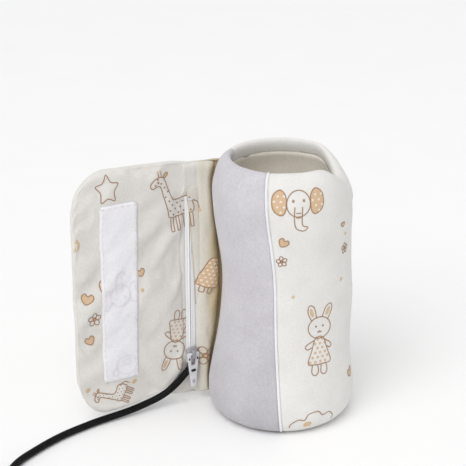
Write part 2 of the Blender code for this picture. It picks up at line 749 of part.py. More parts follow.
def make_plug(parent):
    """The plug lies flat beside the coil: a moulded grip, and a metal shell with its tongue."""
    turn = Matrix.Rotation(PLUG_TURN, 4, "Z")
    back = PLUG_GRIP[0] / 2 + GAP + PLUG_RELIEF
    tail_end = Vector(TAIL_ROUTE[-1]) * MM
    middle = Vector((tail_end.x, tail_end.y, PLUG_HEIGHT)) + turn @ Vector((back + GAP, 0, 0))
    place = Matrix.Translation(middle) @ turn
    pieces = []
    grip = box("plug_grip", PLUG_GRIP, (0, 0, 0), black_plastic("plug_grip"), None, 1.4 * MM)
    pieces.append(grip)
    relief = [(2.2 * MM, 0.0), (2.6 * MM, 4.6 * MM), (3.4 * MM, 5.0 * MM), (3.4 * MM, PLUG_RELIEF)]
    start = (-back, 0.0, 0.0)
    pieces.append(
        turned_along("plug_relief", relief, start, (1, 0, 0), black_plastic("plug_relief"))
    )
    shell = shell_tube("plug_shell", (12.0 * MM, 4.5 * MM), 0.35 * MM, 18.5 * MM)
    pieces.append(shell)
    tongue = (15.0 * MM, 10.4 * MM, 1.6 * MM)
    middle = (PLUG_GRIP[0] / 2 + GAP + tongue[0] / 2, 0.0, -0.85 * MM)
    white = material("plug_tongue", (0.9, 0.9, 0.9), 0.4)
    pieces.append(box("plug_tongue", tongue, middle, white, None, 0.1 * MM))
    for i in range(4):
        y = (-3.5 + 7.0 * i / 3) * MM
        size = (8.0 * MM, 1.0 * MM, 0.2 * MM)
        spot = (18.5 * MM, y, middle[2] + tongue[2] / 2 + GAP + 0.1 * MM)
        gold = material(f"plug_contact_{i + 1}", (0.85, 0.65, 0.3), 0.3, 1.0)
        pieces.append(box(f"plug_contact_{i + 1}", size, spot, gold))
    for piece in pieces:
        piece.matrix_basis = place @ piece.matrix_basis
        keep_place(piece, parent)


def shell_tube(name, size, wall, length):
    """The plug's open metal shell, a rounded rectangular tube along +X from the grip."""
    start = PLUG_GRIP[0] / 2 + GAP
    outer = rounded(size[0], size[0], -size[1] / 2, size[1] / 2, 0.8 * MM)
    inner = rounded(size[0] - 2 * wall, size[0] - 2 * wall, wall - size[1] / 2,
                    size[1] / 2 - wall, 0.5 * MM)
    rows = []
    for ring, x in ((outer, start), (outer, start + length), (inner, start + length),
                    (inner, start)):
        rows.append([(x, y, z) for y, z in ring])
    return add_object(name, grid_solid(name, rows, True), bright_metal(name))


def main():
    clear_scene()
    make_skins()
    make_sleeve_layers()
    make_base()
    make_web()
    fold = fold_frame()
    curl_1 = curl_frame("curl_axis_1", fold, CURL_AT[0])
    curl_2 = curl_frame("curl_axis_2", curl_1, CURL_AT[1] - CURL_AT[0])
    make_flap(fold, curl_1, curl_2)
    make_hook_strip(curl_2)
    make_zip(fold)
    slider_middle = make_slider(fold)
    make_puller(fold, slider_middle)
    make_cable(fold)
    make_coil(fold)
    make_plug(fold)


main()
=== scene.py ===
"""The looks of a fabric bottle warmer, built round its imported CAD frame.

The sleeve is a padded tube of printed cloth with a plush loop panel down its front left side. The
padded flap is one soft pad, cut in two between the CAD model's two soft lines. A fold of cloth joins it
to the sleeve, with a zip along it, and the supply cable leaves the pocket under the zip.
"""

import math

import bmesh
import bpy
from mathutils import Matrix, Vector, noise
from mathutils.bvhtree import BVHTree


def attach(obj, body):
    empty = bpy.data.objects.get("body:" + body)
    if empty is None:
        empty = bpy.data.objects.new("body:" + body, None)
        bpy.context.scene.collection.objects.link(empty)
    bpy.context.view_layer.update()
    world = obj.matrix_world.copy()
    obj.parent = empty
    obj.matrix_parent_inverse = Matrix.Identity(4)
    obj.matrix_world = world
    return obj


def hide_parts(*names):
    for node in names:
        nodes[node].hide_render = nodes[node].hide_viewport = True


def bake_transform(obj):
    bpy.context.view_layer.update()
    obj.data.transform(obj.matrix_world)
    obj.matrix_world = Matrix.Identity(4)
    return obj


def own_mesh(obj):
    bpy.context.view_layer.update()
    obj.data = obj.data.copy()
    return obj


MM = 0.001

# Sleeve, as in the CAD model
BASE_ROUND = 10.0
BASE_RADIUS = 27.0
HEIGHT = 136.0
SLEEVE_OUTLINE = [
    (10, 36.6), (16, 36.6), (31, 34.4), (48, 32.0), (62, 31.0), (76, 31.0), (94, 32.5),
    (112, 34.3), (121, 34.4), (128, 33.0),
]
RIM = [
    (32.6, 129.3), (31.9, 131.0), (31.0, 132.6), (29.8, 134.0), (28.4, 135.1), (27.0, 135.6),
    (26.0, 135.2), (25.5, 134.2), (25.4, 132.8), (25.7, 131.0), (26.3, 129.4), (26.9, 127.6),
]
SIDE_TOP = 128.0
LINING_DEPTH = 6.2
SEAM_BOTTOM = math.radians(-0.5)
SEAM_TOP = math.radians(-16.6)
SEAM_WIDTH = 1.35
PANEL_START = math.radians(-112.0)
DIP_MIDDLE = math.radians(88.0)
DIP_HALF = math.radians(56.0)
DIP_DEPTH = 11.0
DIP_FOOT = 94.0
PRINT_RADIUS = 34.0
CLOTH_RADIUS = 33.0
CLOTH_THICK = 0.7

# Flap, as in the CAD model: distances in mm along it from the fold, across it, and up
FOLD = Vector((-42.3, 8.4, 0.0)) * MM
FLAP_TURN = math.radians(209.5)
ALONG = Vector((math.cos(FLAP_TURN), math.sin(FLAP_TURN), 0.0))
ACROSS = Vector((-math.sin(FLAP_TURN), math.cos(FLAP_TURN), 0.0))
FLAP_LENGTH = 68.0
FLAP_TOP = (130.0, 134.3)
TOP_CORNER = (20.0, 24.0)
BOTTOM_CORNER = (16.0, 30.0)
FLAP_BOTTOM = [(8, 21.5), (12, 16.8), (18, 11.4), (26, 8.6), (38, 5.9), (52, 4.8), (68, 2.9)]
PAD_START = 7.8
PAD_SPLIT = 26.5
PAD_HALF = 2.35
STRIP_SPAN = (34.6, 54.5)
STRIP_HEIGHTS = (22.0, 116.0)
STRIP_LEAN = 1.6
CLOTH_FRAMES = 20
PAD_LEVELS = 56
ZIP_LINE = 5.2
ZIP_LOW = 22.0
ZIP_HIGH = 113.0
LIP_START = 0.7
LIP_LOW = 54.0
LIP_TALL = 64.0
LIP_POINTS = 13
PULLER_PIN = 27.6
PULLER_STRETCH = 1.24
CREASE_TURN = math.radians(24.0)

# Cable, in mm
CABLE_RADIUS = 1.75
CABLE_ROUTE = [
    (-46.9, 4.1, 17.9), (-48.4, 2.9, 16.4), (-52.6, 0.1, 12.4), (-56.8, -2.4, 9.2),
    (-61.6, -4.9, 6.7), (-68.0, -8.1, 4.7), (-77.2, -13.2, 2.9), (-88.2, -19.8, 2.1), (-95.5, -25.0, 1.9),
    (-109.0, -37.5, 1.9), (-120.0, -51.5, 1.9), (-127.6, -64.0, 1.9), (-130.6, -78.0, 1.9),
    (-129.6, -92.0, 2.0), (-128.0, -104.0, 2.0),
]
TAIL_ROUTE = [(-97.0, -139.5, 3.7), (-90.0, -140.4, 4.1), (-84.6, -141.4, 4.2)]
COIL_CENTRE = Vector((-100.0, -112.0, 0.0))
COIL_ENTRY = 196.0
COIL_RADII = [(0, 27.9), (62, 23.3), (1130, 12.8), (1330, 12.8), (2410, 23.3), (2550, 23.4),
              (2586, 27.4)]
COIL_LEVELS = [(0, 1.9), (1180, 1.9), (1270, 5.5), (2555, 5.5), (2586, 3.9)]

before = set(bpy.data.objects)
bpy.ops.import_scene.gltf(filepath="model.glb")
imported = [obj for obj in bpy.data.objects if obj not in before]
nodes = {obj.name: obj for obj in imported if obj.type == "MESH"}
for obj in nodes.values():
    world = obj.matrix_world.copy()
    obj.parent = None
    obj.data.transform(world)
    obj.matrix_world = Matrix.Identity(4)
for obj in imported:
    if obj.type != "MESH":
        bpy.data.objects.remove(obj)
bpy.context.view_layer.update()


# Small helpers


def smooth_through(points, share):
    """A value on the smooth curve through (place, value) points, by its place."""
    if share <= points[0][0]:
        return points[0][1]
    if share >= points[-1][0]:
        return points[-1][1]
    index = max(i for i in range(len(points) - 1) if points[i][0] <= share)
    (x0, y0), (x1, y1) = points[index], points[index + 1]
    before = points[max(index - 1, 0)]
    after = points[min(index + 2, len(points) - 1)]
    width = x1 - x0
    slope0 = (y1 - before[1]) / (x1 - before[0]) * width
    slope1 = (after[1] - y0) / (after[0] - x0) * width
    t = (share - x0) / width
    low = (2 * t**3 - 3 * t**2 + 1) * y0 + (t**3 - 2 * t**2 + t) * slope0
    return low + (3 * t**2 - 2 * t**3) * y1 + (t**3 - t**2) * slope1


def step(low, high, value):
    """A smooth rise from 0 at low to 1 at high."""
    t = min(max((value - low) / (high - low), 0.0), 1.0)
    return t * t * (3 - 2 * t)


def bell(distance, width):
    return math.exp(-((distance / width) ** 2))


def spread(start, end, count):
    return [start + (end - start) * i / count for i in range(count + 1)]


def add_mesh(name, verts, faces, looks, smooth=True):
    mesh = bpy.data.meshes.new(name)
    mesh.from_pydata([tuple(v) for v in verts], [], faces)
    return add_object(name, mesh, looks, smooth)


def add_object(name, mesh, looks, smooth=True):
    made = bpy.data.objects.new(name, mesh)
    bpy.context.scene.collection.objects.link(made)
    for look in looks if isinstance(looks, list) else [looks]:
        mesh.materials.append(look)
    if smooth:
        mesh.shade_smooth()
    return made


def from_form(name, form, looks, smooth=True):
    mesh = bpy.data.meshes.new(name)
    form.to_mesh(mesh)
    form.free()
    return add_object(name, mesh, looks, smooth)


def edit_mesh(piece, change):
    """Runs a change on a piece's mesh as a bmesh form."""
    form = bmesh.new()
    form.from_mesh(piece.data)
    change(form)
    form.to_mesh(piece.data)
    form.free()


def new_looks(piece, look):
    piece.data.materials.clear()
    piece.data.materials.append(look)


def apply_modifiers(piece):
    graph = bpy.context.evaluated_depsgraph_get()
    mesh = bpy.data.meshes.new_from_object(piece.evaluated_get(graph))
    piece.modifiers.clear()
    piece.data = mesh
    return piece


def modify(piece, kind, **settings):
    added = piece.modifiers.new(kind.lower(), kind)
    for key, value in settings.items():
        setattr(added, key, value)
    return apply_modifiers(piece)


def on_curve(a, b, c, d, t):
    """The Catmull-Rom curve between its middle two points."""
    return 0.5 * (2 * b + (c - a) * t + (2 * a - 5 * b + 4 * c - d) * t * t
                  + (3 * b - a - 3 * c + d) * t**3)


def grid(rows, closed_rows=False, closed_across=False):
    """Vertices and faces of a grid of points, given as rows."""
    size = len(rows[0])
    verts = [p for row in rows for p in row]
    faces = []
    for i in range(len(rows) if closed_rows else len(rows) - 1):
        k = (i + 1) % len(rows)
        for j in range(size if closed_across else size - 1):
            m = (j + 1) % size
            faces.append((i * size + j, k * size + j, k * size + m, i * size + m))
    return verts, faces


def sheet(name, rows, places, look, thickness):
    """A thin cloth through rows of points on the flap, thickened away from its front face."""
    verts, faces = grid(rows)
    piece = add_mesh(name, verts, faces, look)
    set_cloth_map(piece, places)
    if piece.data.polygons[0].normal.dot(ACROSS) < 0:
        piece.data.flip_normals()
    return modify(piece, "SOLIDIFY", thickness=thickness * MM, offset=-1.0)


def sleeve_sheet(name, rows, places, look, thickness):
    """A thin cloth through rows of points round the sleeve."""
    verts, faces = grid(rows)
    piece = add_mesh(name, verts, [tuple(reversed(face)) for face in faces], look)
    set_cloth_map(piece, places)
    modify(piece, "SOLIDIFY", thickness=thickness * MM, offset=-1.0)
    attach(piece, "sleeve")
    return piece


def set_painted_crevice_shade(piece, values):
    """Gives a mesh's points how much painted crevice shade each has, from 0 to 1."""
    depth = piece.data.attributes.new("painted_crevice_shade", "FLOAT", "POINT")
    for number, value in enumerate(values):
        depth.data[number].value = value


def set_cloth_map(piece, places):
    """Gives a mesh its cloth coordinates, in metres along and up the cloth, as a UV map."""
    layer = piece.data.uv_layers.new(name="cloth")
    for loop in piece.data.loops:
        layer.data[loop.index].uv = places[loop.vertex_index]


def around(radius, angle, height):
    """The point in metres at an angle from the front, positive towards +X. Sizes in mm."""
    return Vector((radius * math.sin(angle), -radius * math.cos(angle), height)) * MM


def flap_point(along, across, height):
    return FOLD + ALONG * along * MM + ACROSS * across * MM + Vector((0, 0, height * MM))


# Materials


def base_look(name, colour, roughness, metallic=0.0):
    look = bpy.data.materials.new(name)
    look.use_nodes = True
    shader = look.node_tree.nodes["Principled BSDF"]
    shader.inputs["Base Color"].default_value = (*colour, 1.0)
    shader.inputs["Roughness"].default_value = roughness
    shader.inputs["Metallic"].default_value = metallic
    return look, look.node_tree, shader


def add_node(tree, kind, settings=(), **inputs):
    made = tree.nodes.new("ShaderNode" + kind)
    for key, value in dict(settings).items():
        setattr(made, key, value)
    for key, value in inputs.items():
        made.inputs[key].default_value = value
    return made


def noise_at(tree, place, scale, detail=3.0):
    made = add_node(tree, "TexNoise", Scale=scale, Detail=detail)
    tree.links.new(place, made.inputs["Vector"])
    return made.outputs["Fac"]


def tone(tree, shader, value, dark, light, low=0.3, high=0.7):
    ramp = add_node(tree, "ValToRGB")
    ramp.color_ramp.elements[0].position = low
    ramp.color_ramp.elements[1].position = high
    ramp.color_ramp.elements[0].color = (*dark, 1.0)
    ramp.color_ramp.elements[1].color = (*light, 1.0)
    tree.links.new(value, ramp.inputs["Fac"])
    tree.links.new(ramp.outputs["Color"], shader.inputs["Base Color"])


def combine(tree, first, second, how, share=0.5):
    made = add_node(tree, "Math", {"operation": how})
    tree.links.new(first, made.inputs[0])
    if second is None:
        made.inputs[1].default_value = share
    else:
        tree.links.new(second, made.inputs[1])
    return made.outputs["Value"]


def raise_bump(tree, shader, height, strength, distance):
    bump = add_node(tree, "Bump", Strength=strength, Distance=distance)
    tree.links.new(height, bump.inputs["Height"])
    tree.links.new(bump.outputs["Normal"], shader.inputs["Normal"])


def weave(tree, period, rib=False):
    """A plain weave on the cloth coordinates, or ribs across the cloth."""
    places = add_node(tree, "TexCoord").outputs["UV"]
    scale = 2 * math.pi / (20 * period)
    waves = []
    for direction in ("Y",) if rib else ("X", "Y"):
        wave = add_node(tree, "TexWave", {"bands_direction": direction}, Scale=scale)
        tree.links.new(places, wave.inputs["Vector"])
        waves.append(wave.outputs["Fac"])
    return waves[0] if rib else combine(tree, waves[0], waves[1], "ADD")


def cloth(name, dark, light, sheen=0.25, period=0.55, bump=0.35, pile=1400.0):
    """Soft cloth: cloudy tone, a fine weave and a short pile."""
    look, tree, shader = base_look(name, light, 0.92)
    shader.inputs["Sheen Weight"].default_value = sheen
    shader.inputs["Sheen Roughness"].default_value = 0.45
    shader.inputs["Specular IOR Level"].default_value = 0.2
    place = add_node(tree, "TexCoord").outputs["Object"]
    clouds = noise_at(tree, place, 60.0, 4.0)
    fuzz = noise_at(tree, place, pile, 2.0)
    mixed = combine(tree, clouds, fuzz, "ADD")
    tone(tree, shader, combine(tree, mixed, None, "MULTIPLY", 0.5), dark, light)
    height = combine(tree, combine(tree, weave(tree, period * MM), None, "MULTIPLY", 0.4),
                     fuzz, "ADD")
    raise_bump(tree, shader, height, bump, 0.25 * MM)
    return look


def multiply_colour(look, factor):
    """Multiplies a look's colour by the colour or value from another node."""
    tree = look.node_tree
    colour = tree.nodes["Principled BSDF"].inputs["Base Color"]
    plain = colour.links[0].from_socket
    mix = add_node(tree, "Mix", {"data_type": "RGBA", "blend_type": "MULTIPLY"})
    mix.inputs[0].default_value = 1.0
    tree.links.new(plain, mix.inputs[6])
    tree.links.new(factor, mix.inputs[7])
    tree.links.new(mix.outputs[2], colour)


def paint_shade_low(look, share):
    """Paints shade on a sleeve cloth: softly darker towards the floor."""
    tree = look.node_tree
    apart = add_node(tree, "SeparateXYZ")
    tree.links.new(add_node(tree, "TexCoord").outputs["UV"], apart.inputs[0])
    span = add_node(tree, "MapRange")
    for name, value in (("From Min", 0.0), ("From Max", 0.07), ("To Min", share), ("To Max", 1.0)):
        span.inputs[name].default_value = value
    tree.links.new(apart.outputs["Y"], span.inputs["Value"])
    multiply_colour(look, span.outputs["Result"])


def grained(name, dark, light, roughness, metallic=0.0, scale=300.0, bump=0.1, coat=0.0):
    """Moulded or metal surfaces: faint tone and a fine grain."""
    look, tree, shader = base_look(name, light, roughness, metallic)
    shader.inputs["Coat Weight"].default_value = coat
    if light[0] < 0.05:
        shader.inputs["Specular IOR Level"].default_value = 0.12
    place = add_node(tree, "TexCoord").outputs["Object"]
    grain = noise_at(tree, place, scale, 4.0)
    tone(tree, shader, grain, dark, light)
    raise_bump(tree, shader, noise_at(tree, place, scale * 6, 2.0), bump, 0.1 * MM)
    return look


cream_cloth = cloth("cream_cloth", (0.74, 0.725, 0.695), (0.85, 0.84, 0.815))
flap_cloth = cloth("flap_cloth", (0.68, 0.655, 0.615), (0.81, 0.79, 0.755))
plush = cloth("plush", (0.55, 0.525, 0.565), (0.69, 0.675, 0.705), 0.4, 0.7, 0.6, 900.0)
welt_cloth = cloth("welt_cloth", (0.80, 0.80, 0.83), (0.91, 0.91, 0.93), 0.3, 0.6, 0.4)
lining_cloth = cloth("lining_cloth", (0.66, 0.61, 0.53), (0.82, 0.78, 0.70), 0.2, 0.6)
tan_ink = cloth("tan_ink", (0.62, 0.43, 0.27), (0.72, 0.53, 0.35), 0.15)
brown_ink = cloth("brown_ink", (0.33, 0.195, 0.115), (0.43, 0.27, 0.17), 0.1)
pale_ink = cloth("pale_ink", (0.78, 0.69, 0.56), (0.88, 0.81, 0.70), 0.15)
ghost_line = cloth("ghost_line", (0.74, 0.72, 0.77), (0.82, 0.80, 0.85), 0.1)
ghost_fill = cloth("ghost_fill", (0.84, 0.82, 0.86), (0.91, 0.89, 0.93), 0.1)
thread = cloth("thread", (0.78, 0.76, 0.74), (0.90, 0.89, 0.88), 0.3, 0.25)
# Painted shade: the plush panel darkens towards the floor.
paint_shade_low(plush, 0.80)
tape_cloth = cloth("tape_cloth", (0.87, 0.87, 0.88), (0.96, 0.96, 0.97), 0.15, 0.45, 0.4)
wadding_look = cloth("wadding_look", (0.72, 0.71, 0.69), (0.88, 0.87, 0.85), 0.6, 2.0, 1.0, 500.0)
film_look = grained("film_look", (0.40, 0.24, 0.07), (0.55, 0.36, 0.12), 0.35)
wire_look = grained("wire_look", (0.50, 0.26, 0.13), (0.66, 0.36, 0.18), 0.35, 1.0)
black_rubber = grained("black_rubber", (0.004, 0.004, 0.004), (0.009, 0.009, 0.010), 0.55)
black_plastic = grained("black_plastic", (0.010, 0.010, 0.011), (0.026, 0.026, 0.028), 0.5)
nylon_look = grained("nylon_look", (0.74, 0.74, 0.76), (0.88, 0.88, 0.9), 0.4)
slider_look = grained("slider_look", (0.66, 0.66, 0.69), (0.82, 0.82, 0.85), 0.32, 0.0, 200, 0.1, 0.4)
cast_look = grained("cast_look", (0.42, 0.42, 0.44), (0.62, 0.62, 0.64), 0.3, 0.6, 200, 0.1, 0.3)
steel_look = grained("steel_look", (0.52, 0.52, 0.54), (0.72, 0.72, 0.73), 0.28, 1.0)
tongue_look = grained("tongue_look", (0.78, 0.78, 0.77), (0.9, 0.9, 0.89), 0.45)
gold_look = grained("gold_look", (0.72, 0.5, 0.2), (0.88, 0.68, 0.32), 0.25, 1.0)


def hook_tape_look():
    """Nearly clear white hook tape: small round hooks close together."""
    look, tree, shader = base_look("hook_tape", (0.90, 0.90, 0.94), 0.45)
    shader.inputs["Alpha"].default_value = 0.86
    place = add_node(tree, "TexCoord").outputs["UV"]
    cells = add_node(tree, "TexVoronoi", Scale=900.0)
    tree.links.new(place, cells.inputs["Vector"])
    tone(tree, shader, cells.outputs["Distance"], (0.99, 0.98, 1.0), (0.94, 0.93, 0.97), 0.1, 0.8)
    raise_bump(tree, shader, cells.outputs["Distance"], 0.12, 0.3 * MM)
    return look


def shaded_fold_look():
    """The fold's cloth: cream beside the zip, with painted shade that darkens it to brown where it runs in
    to the sleeve.
    """
    look = cloth("fold_look", (0.68, 0.655, 0.615), (0.81, 0.79, 0.755))
    tree = look.node_tree
    depth = add_node(tree, "Attribute", {"attribute_name": "painted_crevice_shade"}).outputs["Fac"]
    # Painted shade: the ramp runs from no change through pale tan to brown as the painted crevice shade
    # grows.
    ramp = add_node(tree, "ValToRGB")
    ramp.color_ramp.elements[0].color = (1.0, 1.0, 1.0, 1.0)
    ramp.color_ramp.elements[1].color = (0.50, 0.35, 0.15, 1.0)
    for place, colour in ((0.30, (0.90, 0.87, 0.79)), (0.62, (0.74, 0.65, 0.46))):
        ramp.color_ramp.elements.new(place).color = (*colour, 1.0)
    tree.links.new(depth, ramp.inputs["Fac"])
    multiply_colour(look, ramp.outputs["Color"])
    return look


hook_look = hook_tape_look()
fold_look = shaded_fold_look()


# Camera, light and floor


def make_stage():
    camera = bpy.data.objects.new("camera", bpy.data.cameras.new("camera"))
    bpy.context.scene.collection.objects.link(camera)
    camera.location = (-0.0243, -0.700, 0.372)
    camera.rotation_euler = (math.radians(90.0 - 21.6), 0.0, 0.0)
    camera.data.lens = 117.73
    camera.data.clip_start = 0.01
    bpy.context.scene.camera = camera
    bpy.context.scene.view_settings.view_transform = "Standard"
    floor_look, tree, shader = base_look("floor", (0.97, 0.97, 0.97), 0.9)
    place = add_node(tree, "TexCoord").outputs["Object"]
    tone(tree, shader, noise_at(tree, place, 20.0), (0.965, 0.965, 0.965), (0.975, 0.975, 0.975))
    verts = [(-4, -4, -0.0002), (4, -4, -0.0002), (4, 4, -0.0002), (-4, 4, -0.0002)]
    add_mesh("floor", verts, [(0, 1, 2, 3)], floor_look, False)
    world = bpy.data.worlds.new("studio")
    world.use_nodes = True
    world.node_tree.nodes["Background"].inputs["Color"].default_value = (1.0, 1.0, 1.0, 1.0)
    world.node_tree.nodes["Background"].inputs["Strength"].default_value = 0.60
    bpy.context.scene.world = world
    sun = bpy.data.lights.new("sun", "SUN")
    sun.energy = 1.3
    sun.angle = math.radians(50.0)
    sky = bpy.data.objects.new("sun", sun)
    bpy.context.scene.collection.objects.link(sky)
    sky.rotation_euler = (math.radians(38.0), 0.0, math.radians(-24.0))
    add_light("key", (-0.45, -0.75, 0.85), 0.55, 1.0)
    add_light("top", (0.05, 0.25, 1.1), 0.8, 0.6)


def add_light(name, place, size, power):
    lamp = bpy.data.lights.new(name, "AREA")
    lamp.shape = "DISK"
    lamp.size = size
    lamp.energy = power
    made = bpy.data.objects.new(name, lamp)
    bpy.context.scene.collection.objects.link(made)
    made.location = place
    aim = Vector((-0.02, -0.01, 0.06)) - Vector(place)
    made.rotation_euler = aim.to_track_quat("-Z", "Y").to_euler()


make_stage()


# Cable


def smooth_route(route, spacing):
    """Evenly spaced points on the Catmull-Rom curve through a route."""
    knots = [Vector(p) for p in route]
    knots = [2 * knots[0] - knots[1]] + knots + [2 * knots[-1] - knots[-2]]
    fine = []
    for i in range(1, len(knots) - 2):
        a, b, c, d = knots[i - 1 : i + 3]
        fine += [on_curve(a, b, c, d, k / 24) for k in range(24)]
    fine.append(knots[-2])
    lengths = [0.0]
    for a, b in zip(fine, fine[1:]):
        lengths.append(lengths[-1] + (b - a).length)
    count = round(lengths[-1] / spacing)
    even, at = [], 0
    for i in range(count + 1):
        want = lengths[-1] * i / count
        while at < len(fine) - 2 and lengths[at + 1] < want:
            at += 1
        share = (want - lengths[at]) / (lengths[at + 1] - lengths[at])
        even.append(fine[at].lerp(fine[at + 1], share))
    return even


def level_through(points, at):
    """A value that eases from one stated place to the next."""
    for (x0, y0), (x1, y1) in zip(points, points[1:]):
        if at <= x1:
            return y0 + (y1 - y0) * step(x0, x1, at)
    return points[-1][1]


def between(points, at):
    for (x0, y0), (x1, y1) in zip(points, points[1:]):
        if at <= x1:
            return y0 + (y1 - y0) * (at - x0) / (x1 - x0)
    return points[-1][1]


def coil_points():
    """Two layers of turns: inwards on the floor, then outwards on top of them."""
    turned = COIL_RADII[-1][0]
    points = []
    for k in range(int(turned / 12.0) + 1):
        at = min(k * 12.0, turned)
        angle = math.radians(COIL_ENTRY + at)
        radius = between(COIL_RADII, at)
        spot = Vector((math.cos(angle), math.sin(angle), 0.0)) * radius
        points.append(COIL_CENTRE + spot + Vector((0, 0, level_through(COIL_LEVELS, at))))
    return points


def make_cord():
    route = CABLE_ROUTE + coil_points() + TAIL_ROUTE
    points = [p * MM for p in smooth_route(route, 2.2)]
    curve = bpy.data.curves.new("supply_cable", "CURVE")
    curve.dimensions = "3D"
    curve.bevel_depth = CABLE_RADIUS * MM
    curve.bevel_resolution = 5
    curve.use_fill_caps = True
    curve.materials.append(black_rubber)
    spline = curve.splines.new("POLY")
    spline.points.add(len(points) - 1)
    for item, point in zip(spline.points, points):
        item.co = (*point, 1.0)
    cord = bpy.data.objects.new("supply_cable", curve)
    bpy.context.scene.collection.objects.link(cord)
    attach(cord, "flap_near")
    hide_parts("usb_cable", "usb_cable_tail", "cable_coil")
    ends = ["cable_gland", "cable_tie", "plug_relief", "plug_grip", "plug_shell", "plug_tongue"]
    ends += [f"plug_contact_{i}" for i in range(1, 5)]


make_cord()


# Sleeve


def sleeve_radius(height):
    if height < BASE_ROUND:
        drop = 1.0 - max(height, 0.0) / BASE_ROUND
        side = SLEEVE_OUTLINE[0][1]
        return BASE_RADIUS + (side - BASE_RADIUS) * math.sqrt(max(1.0 - drop * drop, 0.0))
    return smooth_through(SLEEVE_OUTLINE, height)


def side_radius(height):
    """The side's radius, held at its value below the rim for anything higher."""
    return sleeve_radius(min(height, SIDE_TOP))


def with_normals(outline):
    """Adds to each (radius, height) of an outline its outward direction."""
    made = []
    for i, (r, z) in enumerate(outline):
        before = outline[max(i - 1, 0)]
        after = outline[min(i + 1, len(outline) - 1)]
        way = Vector((after[0] - before[0], after[1] - before[1])).normalized()
        made.append((r, z, way.y, -way.x))
    return made


def side_outline():
    """From under the base edge, up the side, over the rim and down to the lining."""
    corner = []
    for k in range(9):
        lift = 10.0 * k
        height = BASE_ROUND * (1.0 - math.cos(math.radians(lift)))
        corner.append((sleeve_radius(height), height))
    corner[0] = (BASE_RADIUS - 0.4, 0.25)
    side = [(sleeve_radius(z), z) for z in spread(BASE_ROUND, SIDE_TOP, 78)]
    return with_normals(corner + side + RIM)


SIDE = side_outline()


def turn_gap(angle, middle):
    """How far an angle lies from another, round the circle."""
    return abs((angle - middle + math.pi) % (2 * math.pi) - math.pi)


def rim_dip(angle):
    gap = turn_gap(angle, DIP_MIDDLE)
    return DIP_DEPTH * math.cos(0.5 * math.pi * min(gap / DIP_HALF, 1.0)) ** 2


def dipped(angle, height):
    return height - rim_dip(angle) * step(DIP_FOOT, HEIGHT, height)


def squeeze(angle, height):
    """How far every layer of the sleeve is pressed in: the waist's left side, and under the dip."""
    waist = 1.3 * bell(turn_gap(angle, math.radians(-88.0)), 0.75) * bell(height - 68.0, 26.0)
    dent = 1.1 * bell(turn_gap(angle, math.radians(78.0)), 0.26) * bell(height - 118.0, 5.0)
    bulge = 0.7 * bell(turn_gap(angle, math.radians(92.0)), 0.5) * bell(height - 128.0, 8.0)
    side = 4.2 * bell(turn_gap(angle, math.radians(86.0)), 0.85) * bell(height - 66.0, 29.0)
    return side + bulge - waist - dent


def creases(angle, height):
    """Soft unevenness of the outer cloth, strongest near the hems."""
    x, y = math.sin(angle) * 34.0, math.cos(angle) * 34.0
    slow = noise.noise(Vector((x / 17.0, y / 17.0, height / 24.0)))
    quick = noise.noise(Vector((x / 6.0, y / 6.0, height / 11.0 + 9.0)))
    pucker = bell(height - 124.0, 8.0) + bell(height - 14.0, 9.0)
    return 0.42 * slow + (0.10 + 0.16 * pucker) * quick


def sleeve_point(angle, place, lift=0.0, rough=1.0):
    """A point of the sleeve's cloth: its place is (radius, height, and the outward direction)."""
    r, z, out_r, out_z = place
    rest = step(1.0, 9.0, z) * rough
    push = lift + creases(angle, z) * rest + squeeze(angle, z) * step(2.0, 14.0, z)
    return around(r + out_r * push, angle, dipped(angle, z + out_z * push))


def seam_angle(height):
    bow = math.radians(2.2) * bell(height - 84.0, 22.0)
    return SEAM_BOTTOM + (SEAM_TOP - SEAM_BOTTOM) * min(height / HEIGHT, 1.0) + bow


def half_seam(place):
    return 0.5 * SEAM_WIDTH / max(place[0], 20.0)


def sleeve_cloth(name, start, end, columns, look, hollow_start, hollow_end):
    """A part of the sleeve's outer cloth between two edges, tucked in along its seams."""
    rows, places = [], []
    for place in SIDE:
        row = []
        first, last = start(place), end(place)
        for j in range(columns + 1):
            angle = first + (last - first) * j / columns
            tuck = hollow_start * bell((angle - first) * CLOTH_RADIUS, 1.0)
            tuck += hollow_end * bell((last - angle) * CLOTH_RADIUS, 1.0)
            row.append(sleeve_point(angle, place, -tuck))
            places.append((angle * CLOTH_RADIUS * MM, place[1] * MM))
        rows.append(row)
    return sleeve_sheet(name, rows, places, look, CLOTH_THICK)


def make_sleeve_cover():
    def seam_left(place):
        return seam_angle(place[1]) - 0.7 * half_seam(place)

    def seam_right(place):
        return seam_angle(place[1]) + 0.7 * half_seam(place)

    panel = sleeve_cloth("loop_panel_cloth", lambda place: PANEL_START, seam_left, 46, plush, 0.0, 0.25)
    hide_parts("loop_panel")
    cover = sleeve_cloth("sleeve_cloth", seam_right, lambda place: 2 * math.pi + PANEL_START, 112,
                         cream_cloth, 0.35, 0.0)
    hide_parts("outer_cover", "top_hem")
    make_seam()
    return [panel, cover]


def make_seam():
    """The raised welt where the loop panel and the printed cloth are sewn together."""
    rows, places = [], []
    for place in SIDE[2:]:
        row = []
        for k in range(9):
            swing = math.pi * k / 8
            angle = seam_angle(place[1]) - half_seam(place) * math.cos(swing)
            row.append(sleeve_point(angle, place, 0.62 * math.sin(swing) - 0.30))
            places.append((k * 0.2 * MM, place[1] * MM))
        rows.append(row)
    welt = sleeve_sheet("front_seam_welt", rows, places, welt_cloth, 0.3)
    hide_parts("front_seam")


